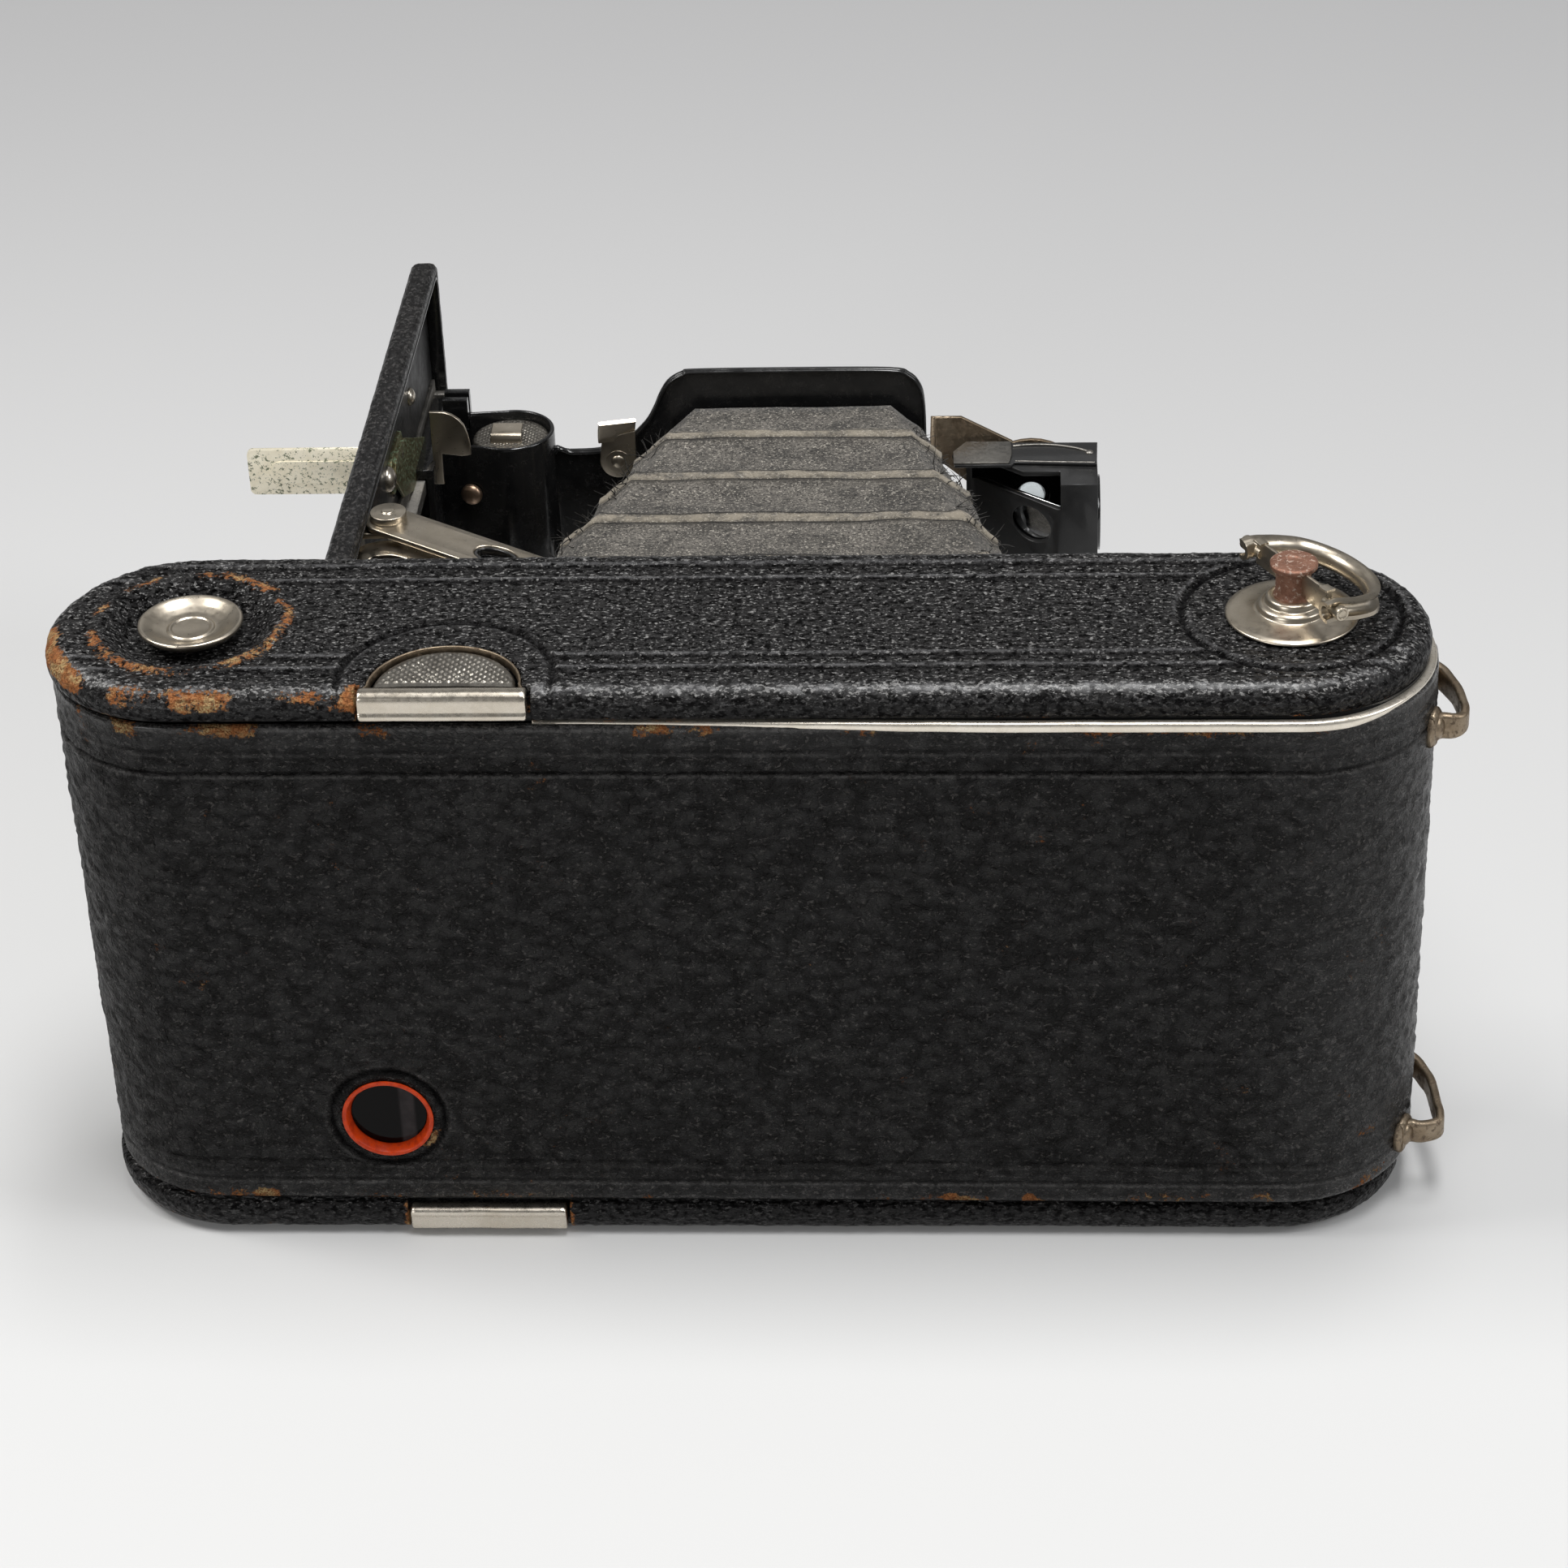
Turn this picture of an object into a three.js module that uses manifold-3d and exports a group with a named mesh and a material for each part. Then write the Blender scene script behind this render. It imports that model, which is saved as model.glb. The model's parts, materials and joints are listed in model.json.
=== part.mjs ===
// Folding roll-film camera for postcard-size pictures, in its landscape pose with the bed open.
// Millimetres. +X along the long body, +Y towards the lens, +Z up.
// Origin: middle of the flat face that the camera lies on.
// Left is -X, right is +X, back is -Y and front is +Y.
import * as THREE from 'three';
import { mergeVertices } from 'three/addons/utils/BufferGeometryUtils.js';
import Module from 'manifold-3d';

const wasm = await Module();
wasm.setup();

// ---- driving dimensions -------------------------------------------------
// body
const LENGTH = 241;
const DEPTH = 50;
const HEIGHT = 116;
const END_R = DEPTH / 2; // half-round ends
const END_X = LENGTH / 2 - END_R;
const MID_Z = HEIGHT / 2;
const TOP_Z = 110.4; // underside of the top panel
const LOW_Z = 6.7; // upper side of the bottom panel
const PANEL_EDGE = 4; // rounding of both panels
const SHELL_R = 24.6; // outer radius of the wall between the panels
const SHELL_INNER_R = SHELL_R - 1.8;
const SEAM_Y = 12; // where the removable back meets the front wall
const OPENING = { x0: -73, x1: 79, z0: 12, z1: 104 }; // for the bed
const AXIS_X = 3; // optical axis, from the body's middle
const AXIS = [AXIS_X, MID_Z];
// picture frame and film path
const GATE_WIDTH = 140;
const GATE_HEIGHT = 82.5;
const GATE_Y = -19.2;
const CHAMBER_X = 81.3; // inner face of the light chamber's end walls
const SUPPLY = [-95, 0];
const TAKEUP = [96.5, 0];
const SPOOL_Z0 = 10.5;
const SPOOL_Z1 = 105.5;
const FLANGE_R = 12;
const ROLLER_X = 86.4;
const ROLLER_Y = -15.6;
// fittings on the body
const LATCH_X = -48;
const WINDOW = [-64.8, 26.5]; // x, z
const WINDOW_R = 8.2;
const WINDOW_GLASS_R = 6.9;
const TRIPOD = [-14, 0];
const KEY_Z = 123.5;
const KEY_DEGREES = -60; // the key blade's direction in plan
// bed
const BED_X = -79.5; // outer face
const BED_T = 5.5;
const BED_FLOOR_X = BED_X + 2.5;
const BED_Y0 = 25.5;
const BED_Y1 = 177.5;
const BED_HALF = 45.6;
const HINGE = [-76.5, 22];
const HINGE_OFFSET = 32; // each hinge's middle, from MID_Z
const HINGE_HALF = 12;
const KNUCKLE_R = 2.3;
const RAIL_X0 = -76.2;
const RAIL_X1 = -73.7;
const BRACE_BED = [-70, 65.4]; // the braces' rivets
const BRACE_BODY = [6, 15]; // the braces' studs
const LEG_PIVOT = [-81.9, 171];
// lens standard
const CARRIAGE_X = -71.9; // inner face of the carriage
const CARRIAGE_Y0 = 133.4;
const CARRIAGE_Y1 = 167;
const DRUM = [-57.3, 150]; // round foot of the standard
const DRUM_R = 9.3;
const FOOT_Y0 = 143.6; // back corner of the foot on the carriage
const PLATE_Y = 149;
const FACE_Y = PLATE_Y + 1.2; // front of the standard plate
const BLADE_POST_X = 17.5; // from the optical axis
const DIAL = [AXIS_X, MID_Z + 19.6];
const RELEASE_Z = MID_Z + 3.5;
const FINDER_X = 53;
const FINDER_Z = 51.5;
const FINDER = [FINDER_X, FINDER_Z];

const FAR = 300; // beyond every piece
const SIDES = [-1, 1];

// ---- finishes -----------------------------------------------------------
const LEATHER = { color: 0x17161a, roughness: 0.55, metalness: 0 };
const ENAMEL = { color: 0x0b0b0c, roughness: 0.2, metalness: 0.1 };
const NICKEL = { color: 0xb9b2a2, roughness: 0.35, metalness: 1 };
const STEEL = { color: 0x6e6a64, roughness: 0.45, metalness: 1 };
const BRASS = { color: 0x8d8450, roughness: 0.45, metalness: 1 };
const GLASS = { color: 0xbfd0d4, roughness: 0.05, metalness: 0 };
const SPOOL_BROWN = { color: 0x3a2f28, roughness: 0.7, metalness: 0 };
const POST_METAL = { color: 0x7a5a48, roughness: 0.6, metalness: 0.8 };
const RIVET_METAL = { color: 0x7a5f4c, roughness: 0.5, metalness: 0.8 };
const RING_ORANGE = { color: 0xb5401c, roughness: 0.4, metalness: 0 };
const RED_GLASS = { color: 0x5a0d08, roughness: 0.1, metalness: 0 };
const BELLOWS_GREY = { color: 0x4a4640, roughness: 0.9, metalness: 0 };
const MIRROR = { color: 0xc8ccd0, roughness: 0.05, metalness: 1 };

// ---- solids -------------------------------------------------------------
// A closed geometry as a manifold solid with its faces outward.
function solid(geometry) {
  geometry.deleteAttribute('normal');
  geometry.deleteAttribute('uv');
  const merged = mergeVertices(geometry, 1e-4);
  const points = merged.attributes.position.array;
  const faces = [];
  for (let i = 0; i < merged.index.count; i += 3) {
    const face = [...merged.index.array.slice(i, i + 3)];
    // leave out triangles that merged to a line
    if (new Set(face).size === 3) faces.push(face);
  }
  let volume = 0;
  for (const face of faces) {
    const [first, second, third] = face.map(i => new THREE.Vector3().fromArray(points, 3 * i));
    volume += first.dot(second.cross(third));
  }
  if (volume < 0) faces.forEach(face => face.reverse());
  return new wasm.Manifold(new wasm.Mesh({
    numProp: 3,
    vertProperties: new Float32Array(points),
    triVerts: new Uint32Array(faces.flat()),
  }));
}

const join = (...parts) => parts.reduce((sum, part) => sum.add(part));
const cut = (body, ...tools) => tools.reduce((rest, tool) => rest.subtract(tool), body);

// In box, rod and pull, the two limits along an axis may come in either order.
function box(x0, x1, y0, y1, z0, z1) {
  const geometry = new THREE.BoxGeometry(Math.abs(x1 - x0), Math.abs(y1 - y0), Math.abs(z1 - z0));
  geometry.translate((x0 + x1) / 2, (y0 + y1) / 2, (z0 + z1) / 2);
  return solid(geometry);
}
// Box centred on the body's middle height.
const midBox = (x0, x1, y0, y1, half) => box(x0, x1, y0, y1, MID_Z - half, MID_Z + half);

// Cylinder along an axis; the centre holds the other two coordinates in the order x, y, z.
// With endRadius it is a cone that has that radius at its higher end.
function rod(axis, [first, second], radius, from, to, segments = 24, endRadius = radius) {
  const geometry = new THREE.CylinderGeometry(endRadius, radius, Math.abs(to - from), segments);
  const middle = (from + to) / 2;
  if (axis === 'z') geometry.rotateX(Math.PI / 2).translate(first, second, middle);
  if (axis === 'y') geometry.translate(first, middle, second);
  if (axis === 'x') geometry.rotateZ(-Math.PI / 2).translate(middle, first, second);
  return solid(geometry);
}
const hole = (axis, centre, radius, segments) => rod(axis, centre, radius, -FAR, FAR, segments);

// Flat outline pulled along an axis. It is in (x, y) for z, (x, z) for y, (y, z) for x.
// A bevel rounds both ends and widens the outline by its size.
function pull(axis, outline, from, to, bevel = { size: 0, segments: 0 }) {
  const shape = new THREE.Shape(outline.map(point => new THREE.Vector2(...point)));
  const geometry = new THREE.ExtrudeGeometry(shape, {
    depth: Math.abs(to - from) - 2 * bevel.size,
    bevelEnabled: bevel.size > 0,
    bevelSize: bevel.size,
    bevelThickness: bevel.size,
    bevelSegments: bevel.segments,
  });
  geometry.translate(0, 0, Math.min(from, to) + bevel.size);
  const matrix = new THREE.Matrix4();
  if (axis === 'y') matrix.set(1, 0, 0, 0, 0, 0, 1, 0, 0, 1, 0, 0, 0, 0, 0, 1);
  if (axis === 'x') matrix.set(0, 0, 1, 0, 1, 0, 0, 0, 0, 1, 0, 0, 0, 0, 0, 1);
  return solid(geometry.applyMatrix4(matrix));
}
const cutter = (axis, outline) => pull(axis, outline, -FAR, FAR);

// Turned shape about a line along z or y; the profile is [radius, height] pairs.
function turn(axis, [first, second], profile, segments) {
  const points = profile.map(point => new THREE.Vector2(...point));
  const geometry = new THREE.LatheGeometry(points, segments);
  if (axis === 'z') geometry.rotateX(Math.PI / 2).translate(first, second, 0);
  if (axis === 'y') geometry.translate(first, 0, second);
  return solid(geometry);
}

// ---- outlines -----------------------------------------------------------
function arc(x, y, radius, from, to, steps, radiusY = radius) {
  return Array.from({ length: steps + 1 }, (_, i) => {
    const angle = from + (to - from) * i / steps;
    return [x + radius * Math.cos(angle), y + radiusY * Math.sin(angle)];
  });
}
const halfDisc = (x, y, radius) => arc(x, y, radius, 0, Math.PI, 18);
const leftHalf = (x, y, radius, steps) => arc(x, y, radius, Math.PI / 2, 1.5 * Math.PI, steps);
const rightHalf = (x, y, radius, steps) => arc(x, y, radius, -Math.PI / 2, Math.PI / 2, steps);

const bodyOutline = radius => [
  ...leftHalf(-END_X, 0, radius, 18), ...rightHalf(END_X, 0, radius, 18)];
// The back cover bulges a little at its right end.
const coverOutline = (leftRadius, rightRadius) => [
  ...leftHalf(-END_X, 0, leftRadius, 18), ...rightHalf(END_X + 1.4, -0.6, rightRadius, 18)];

function roundedRect(left, right, low, high, radius, steps = 5) {
  const corners = [
    [right - radius, high - radius], [left + radius, high - radius],
    [left + radius, low + radius], [right - radius, low + radius]];
  return corners.flatMap(([x, y], i) =>
    arc(x, y, radius, i * Math.PI / 2, (i + 1) * Math.PI / 2, steps));
}

function curvePoints(points, count) {
  const knots = points.map(([x, y]) => new THREE.Vector3(x, y, 0));
  return new THREE.CatmullRomCurve3(knots, false, 'centripetal')
    .getPoints(count).map(({ x, y }) => [x, y]);
}

// Outline of a strip of even thickness that follows a line in plan.
function strip(points, thickness) {
  const edge = offset => points.map(([x, y], i) => {
    const [x0, y0] = points[Math.max(0, i - 1)];
    const [x1, y1] = points[Math.min(points.length - 1, i + 1)];
    const length = Math.hypot(x1 - x0, y1 - y0);
    return [x - (y1 - y0) / length * offset, y + (x1 - x0) / length * offset];
  });
  return [...edge(thickness / 2), ...edge(-thickness / 2).reverse()];
}

// Maps [along, across] in a turned frame to plan coordinates.
const planFrame = ([x, y], angle) => ([along, across]) => [
  x + along * Math.cos(angle) - across * Math.sin(angle),
  y + along * Math.sin(angle) + across * Math.cos(angle)];

// ---- body ---------------------------------------------------------------
const panelSlab = (z0, z1) =>
  pull('z', bodyOutline(END_R - PANEL_EDGE), z0, z1, { size: PANEL_EDGE, segments: 4 });
const SLAB_T = 30 + 2 * PANEL_EDGE; // thick enough to trim one rounded side off

const latchRecess = (z0, z1) => [
  pull('z', halfDisc(LATCH_X, -22.8, 14.8), z0, z1),
  box(LATCH_X - 15, LATCH_X + 15, -30, -22.6, -FAR, FAR)];
const rollerHoles = (z0, z1) => SIDES.map(side =>
  rod('z', [side * ROLLER_X, ROLLER_Y], 1.1, z0, z1, 12));

function topPanel() {
  const dish = [[0, 112.6], [10, 112.6], [13, 113.2], [17.2, HEIGHT + 0.01], [17.2, 118], [0, 118]];
  return cut(panelSlab(HEIGHT - SLAB_T, HEIGHT),
    box(-FAR, FAR, -FAR, FAR, -FAR, TOP_Z),
    turn('z', SUPPLY, dish, 40),
    hole('z', SUPPLY, 3.3),
    hole('z', TAKEUP, 2.75),
    ...latchRecess(112, 120),
    ...rollerHoles(100, 112.6));
}

function bottomPanel() {
  const panel = cut(panelSlab(0, SLAB_T),
    box(-FAR, FAR, -FAR, FAR, LOW_Z, FAR),
    ...latchRecess(-5, 4.2),
    hole('z', TRIPOD, 6.6),
    rod('z', TRIPOD, 8.8, -5, 1.2, 32),
    ...rollerHoles(4.4, 20));
  // the two fixed pins that the spools' lower ends turn on
  const pins = [SUPPLY, TAKEUP].flatMap(centre => [
    rod('z', centre, 1.95, 4, SPOOL_Z0 + 5, 16),
    rod('z', centre, 6, 4, 8, 20)]);
  return join(panel, ...pins);
}

// Front wall with the bed opening, the lip around it and seats for the two hinges.
function bodyFrame() {
  const { x0, x1, z0, z1 } = OPENING;
  const wall = cut(pull('z', bodyOutline(SHELL_R), LOW_Z, TOP_Z),
    cutter('z', bodyOutline(SHELL_INNER_R)),
    box(-FAR, FAR, -FAR, SEAM_Y + 0.3, -FAR, FAR));
  const lip = box(x0 - 7.6, x1 + 1.6, 18.6, 23.4, z0 - 1.6, z1 + 1.6);
  const seats = SIDES.map(side => {
    const z = MID_Z + side * HINGE_OFFSET;
    const half = HINGE_HALF + 0.2;
    return box(-82, -79, 18, 22.5, z - half, z + half);
  });
  return cut(join(wall, lip), box(x0 - 6.6, x1, 10, 40, z0, z1), ...seats);
}

// Picture frame with the light chamber's end walls.
function filmGate() {
  const outer = CHAMBER_X + 1.2;
  const walls = SIDES.map(side =>
    box(side * outer, side * CHAMBER_X, GATE_Y, SHELL_INNER_R, LOW_Z, TOP_Z));
  const picture = roundedRect(AXIS_X - GATE_WIDTH / 2, AXIS_X + GATE_WIDTH / 2,
    MID_Z - GATE_HEIGHT / 2, MID_Z + GATE_HEIGHT / 2, 1.5, 3);
  return cut(join(box(-outer, outer, GATE_Y, GATE_Y + 1.5, LOW_Z, TOP_Z), ...walls),
    cutter('y', picture));
}

function guideRoller(side) {
  const centre = [side * ROLLER_X, ROLLER_Y];
  return join(rod('z', centre, 2.7, 8.5, 108.5, 20), rod('z', centre, 0.98, 5, 112, 12));
}

// Spool with a round bore below and the given drive hole above.
function spool(centre, driveHole) {
  const coreR = 5.6;
  const profile = [
    [0, SPOOL_Z0], [FLANGE_R, SPOOL_Z0], [FLANGE_R, SPOOL_Z0 + 0.9], [coreR, SPOOL_Z0 + 1.4],
    [coreR, SPOOL_Z1 - 1.4], [FLANGE_R, SPOOL_Z1 - 0.9], [FLANGE_R, SPOOL_Z1], [0, SPOOL_Z1]];
  return cut(turn('z', centre, profile, 24), rod('z', centre, 2.2, 0, SPOOL_Z0 + 7, 16), driveHole);
}

const supplySpool = () => spool(SUPPLY, rod('z', SUPPLY, 2.2, SPOOL_Z1 - 6, 120, 16));
const takeupSpool = () => spool(TAKEUP, keySlab(3.7, 0.85, 100.5, 110));

// Knob that sits in the top panel's dish, with its shaft below.
function supplyKnob() {
  return turn('z', SUPPLY, [
    [0, 101.2], [1.9, 101.2], [1.9, 107], [3.0, 107], [3.0, 113.2], [5.2, 113.3], [8.4, 115.0],
    [9.2, 115.7], [9.1, 116.3], [8.4, 116.5], [5.6, 115.2], [4.4, 114.9], [3.6, 115.2],
    [0, 115.3]], 26);
}

function tripodBush() {
  return cut(join(rod('z', TRIPOD, 8.5, 0, 1, 32), rod('z', TRIPOD, 6.3, 0.5, LOW_Z)),
    rod('z', TRIPOD, 4.8, -5, LOW_Z - 1.2));
}

// ---- winding key --------------------------------------------------------
const keyPlan = planFrame(TAKEUP, THREE.MathUtils.degToRad(KEY_DEGREES));

// Upright slab centred on the key's axis, along the blade.
function keySlab(halfLength, halfThickness, z0, z1) {
  const corners = [
    [-halfLength, -halfThickness], [halfLength, -halfThickness],
    [halfLength, halfThickness], [-halfLength, halfThickness]];
  return pull('z', corners.map(keyPlan), z0, z1);
}

// One rod at each end of the blade, on a shared line.
const keyPins = (radius, near, far) => SIDES.map(side =>
  rod('x', [0, KEY_Z], radius, side * near, side * far, 12)
    .rotate([0, 0, KEY_DEGREES])
    .translate([...TAKEUP, 0]));

function keyPost() {
  const post = turn('z', TAKEUP, [
    [0, 107], [2.4, 107], [2.4, 116.3], [11.2, 116.3], [11.5, 116.7], [11.2, 117.1], [6.2, 118.3],
    [5.6, 118.6], [5.3, 119.9], [4.3, 120.3], [4.1, 121.2], [3.2, 121.4], [3.2, 126.4],
    [2.9, 126.8], [0, 126.8]], 24);
  return cut(join(post, keySlab(3.2, 0.55, 102, 107.5)), keySlab(6, 0.65, 121.35, 130));
}

const keyBlade = () => join(keySlab(10.3, 0.5, 121.5, 126.3), ...keyPins(0.9, 9, 14.7));

// Round bar bent to a bow, bored for the blade's pins.
function keyBail() {
  // one half of the bow, from its end to its crown: [along, across] the blade
  const half = [[12.8, -1.6], [12.8, 2], [12.8, 6], [11.4, 10.4], [7.6, 14.2], [2.6, 16.2]];
  const path = [...half.map(([along, across]) => [-along, across]), ...half.toReversed()]
    .map(point => new THREE.Vector3(...keyPlan(point), KEY_Z));
  const section = new THREE.Shape();
  section.absarc(0, 0, 1.9, 0, 2 * Math.PI, false);
  const bow = new THREE.ExtrudeGeometry(section, {
    steps: 22,
    curveSegments: 5,
    extrudePath: new THREE.CatmullRomCurve3(path, false, 'centripetal'),
    bevelEnabled: false,
  });
  return cut(solid(bow), ...keyPins(1.05, 5, 20));
}

// ---- latches ------------------------------------------------------------
// Rounded bar along the back, a half disc forward of it and a strip that ties the two.
function latch(barY, barZ, discZ, stripZ) {
  return join(
    pull('x', roundedRect(barY, -23.5, ...barZ, 1.2, 4), LATCH_X - 14.5, LATCH_X + 14.5),
    pull('z', halfDisc(LATCH_X, -23.6, 14.4), ...discZ),
    box(LATCH_X - 14, LATCH_X + 14, -25, -22.9, ...stripZ));
}

// ---- removable back -----------------------------------------------------
const frontOfSeam = () => box(-FAR, FAR, SEAM_Y, FAR, -FAR, FAR);

function backCover() {
  return cut(pull('z', coverOutline(24.4, 25), 7.8, 109.5),
    cutter('z', coverOutline(22.8, 23.4)),
    frontOfSeam(),
    hole('y', WINDOW, WINDOW_R, 32));
}

function coverTrim() {
  return cut(pull('z', coverOutline(24.2, 25.3), 109.5, 110.1),
    cutter('z', coverOutline(23.2, 23.8)),
    frontOfSeam());
}

function windowRing() {
  return cut(rod('y', WINDOW, WINDOW_R, -24.95, -22.4, 32), hole('y', WINDOW, WINDOW_GLASS_R, 28));
}

const windowGlass = () => rod('y', WINDOW, WINDOW_GLASS_R, -23.4, -22.6, 28);

// Flat plate with a bowed strip on its back and a slot near the window.
function pressurePlate() {
  const bow = curvePoints([[-60, -21.2], [-30, -22.4], [0, -22.75], [30, -22.4], [60, -21.2]], 16);
  return cut(join(box(-76, 78, -21.4, -20.6, 13, 103), pull('z', strip(bow, 0.5), 50, 66)),
    cutter('y', roundedRect(-63.6, -58.6, 16, 40, 2.4)));
}

// Bent strip around the right end, with a wider foot at each of its ends.
function strapLug(z) {
  const bend = curvePoints([
    [119.7, -13.9], [121.4, -14.0], [124.6, -13.6], [127.2, -12.0], [127.9, -8.6],
    [127.2, -3], [125.8, 3.4], [124.0, 8.4], [122.4, 10.2], [121.0, 10.4]], 22);
  const backFoot = [[116.9, -16.2], [119.2, -12.6], [120.6, -13.0], [118.2, -16.9]];
  const frontFoot = [[120.75, 7.2], [122.2, 7.8], [120.6, 11.9], [119.15, 11.3]];
  return join(pull('z', strip(bend, 1.3), z - 1.8, z + 1.8),
    pull('z', backFoot, z - 3, z + 3),
    pull('z', frontFoot, z - 3, z + 3));
}

// ---- bed ----------------------------------------------------------------
// Bed outline in (y, z), moved in by an inset.
const bedOutline = (inset, radius, steps) => roundedRect(BED_Y0 + inset, BED_Y1 - inset,
  MID_Z - BED_HALF + inset, MID_Z + BED_HALF - inset, radius, steps);

function bedPanel() {
  const bevel = { size: 1.4, segments: 3 };
  const tray = cut(pull('x', bedOutline(bevel.size, 2.5, 4), BED_X, BED_X + BED_T, bevel),
    pull('x', bedOutline(2.6, 2, 3), BED_FLOOR_X, 0),
    // gap in the rim at the hinge end, where the carriage runs home
    midBox(BED_FLOOR_X, 0, BED_Y0 - 1, BED_Y0 + 3, 19.6));
  const knuckles = SIDES.map(side => {
    const z = MID_Z + side * HINGE_OFFSET;
    const knuckle = join(rod('z', HINGE, KNUCKLE_R, z - 5.6, z + 5.6, 16),
      box(-78.6, RAIL_X0, HINGE[1], BED_Y0 + 1.5, z - 5.6, z + 5.6));
    return cut(knuckle, hole('z', HINGE, 1.1, 12));
  });
  return join(tray, ...knuckles);
}

// Pin, outer knuckles and the leaf fixed to the body.
function bedHinge(side) {
  const z = MID_Z + side * HINGE_OFFSET;
  const outerKnuckles = SIDES.flatMap(end => {
    const limits = [z + end * 6, z + end * HINGE_HALF];
    return [rod('z', HINGE, KNUCKLE_R, ...limits, 16),
      box(-CHAMBER_X, -78.6, 20.6, 21.8, ...limits)];
  });
  return join(rod('z', HINGE, 1, z - HINGE_HALF, z + HINGE_HALF, 12),
    ...outerKnuckles,
    box(-CHAMBER_X, -80.1, 12, 21.8, z - HINGE_HALF, z + HINGE_HALF));
}

const rails = (y0, y1) => SIDES.map(side =>
  box(RAIL_X0, RAIL_X1, y0, y1, MID_Z + side * 12, MID_Z + side * 15));

// Track on the bed, with a stop bar near its front end.
function bedTrack() {
  return join(midBox(BED_FLOOR_X, RAIL_X0, 30, 173, 19),
    ...rails(30, 172),
    midBox(RAIL_X0, -72.4, 169.5, 171.5, 17));
}

// Track inside the body, on two cross feet.
function bodyTrack() {
  return join(midBox(BED_FLOOR_X, RAIL_X0, -16.5, 18, 17),
    ...rails(-16.5, 23.5),
    midBox(-CHAMBER_X, BED_FLOOR_X, -14, -12, 17),
    midBox(-CHAMBER_X, BED_FLOOR_X, 14, 16, 17));
}

// Height at a distance from the middle, above it for side 1 and below it for side -1.
const offMiddle = (side, offset) => MID_Z + side * offset;
const BRACE_INNER = 41.6; // the braces' inner faces, from MID_Z

// Side brace that holds the bed square to the body, with the headed stud that ties it
// to the side panel whose inner face is at panelZ.
function brace(side, panelZ) {
  const alongX = BRACE_BODY[0] - BRACE_BED[0];
  const alongY = BRACE_BODY[1] - BRACE_BED[1];
  const toPlan = planFrame(BRACE_BED, Math.atan2(alongY, alongX));
  const bar = roundedRect(-4.6, Math.hypot(alongX, alongY) + 3.2, -4.6, 4.6, 4.5, 6).map(toPlan);
  const slot = roundedRect(22, 30.6, -2.6, 2.6, 2.55, 5).map(toPlan);
  const innerZ = offMiddle(side, BRACE_INNER);
  const headZ = offMiddle(side, BRACE_INNER - 1.2);
  const plate = cut(pull('z', bar, innerZ, offMiddle(side, BRACE_INNER + 1.2)),
    cutter('z', slot),
    hole('z', BRACE_BED, 1.5, 16),
    hole('z', BRACE_BODY, 1.5, 16));
  return join(plate,
    rod('z', BRACE_BODY, 2, headZ, panelZ, 16),
    rod('z', BRACE_BODY, 3, headZ, innerZ, 20));
}

// Rivet that joins a brace to the bed, with the bed's bracket;
// footOffset is how near the bracket's foot comes to MID_Z.
function braceRivet(side, footOffset) {
  const [x, y] = BRACE_BED;
  const limits = (near, far) => [offMiddle(side, near), offMiddle(side, far)];
  const shelf = limits(40.1, 41.3);
  return join(rod('z', BRACE_BED, 1.3, ...limits(39.6, 44.8), 16),
    rod('z', BRACE_BED, 3.5, ...limits(43.1, 44.5)),
    box(-75.4, x + 2.4, y - 3, y + 3, ...shelf),
    box(BED_FLOOR_X, -75.8, y - 4, y + 4, ...limits(footOffset, 41.3)),
    box(-76.4, -74, y - 3, y + 3, ...shelf));
}

// Distance scale: a plate with a toothed edge, on the bed beside the track.
function focusScale() {
  const teeth = Array.from({ length: 23 }, (_, i) => {
    const angle = Math.PI * (-0.62 + 0.66 * i / 22);
    const radius = i % 2 ? 16.8 : 16;
    return [130 + radius * Math.cos(angle), 94 + radius * Math.sin(angle)];
  });
  const rest = [[144, 99], [128, 99.4], [116, 97], [110, 92], [112, 86]];
  return pull('x', [...teeth, ...rest], BED_FLOOR_X, -75.4);
}

// Plate, pin and two ears for the folding leg, on the bed's outer face.
function legBracket() {
  const [z0, z1] = [47.6, 64.1];
  const y = LEG_PIVOT[1];
  const ears = [[z0, z0 + 2.5], [z1 - 2.5, z1]].flatMap(limits => [
    rod('z', LEG_PIVOT, 1.7, ...limits, 14),
    box(-82, -80, y - 1.7, y + 1.7, ...limits)]);
  return join(rod('z', LEG_PIVOT, 0.75, z0, z1, 12), box(-80.2, BED_X, 165, 176.5, z0, z1), ...ears);
}

// Flat leg with a raised rib on its back face.
function standLeg() {
  const [z0, z1] = [50.4, 61.3];
  const [x, y] = LEG_PIVOT;
  const leg = join(rod('z', LEG_PIVOT, 1.6, z0, z1, 14),
    pull('y', roundedRect(-118.8, x, z0, z1, 1.2, 3), y - 0.6, y + 0.6),
    pull('y', roundedRect(-114, -91, 53.2, 58.6, 2.6, 5), y - 0.95, y - 0.3));
  return cut(leg, hole('z', LEG_PIVOT, 0.85, 12));
}

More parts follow.
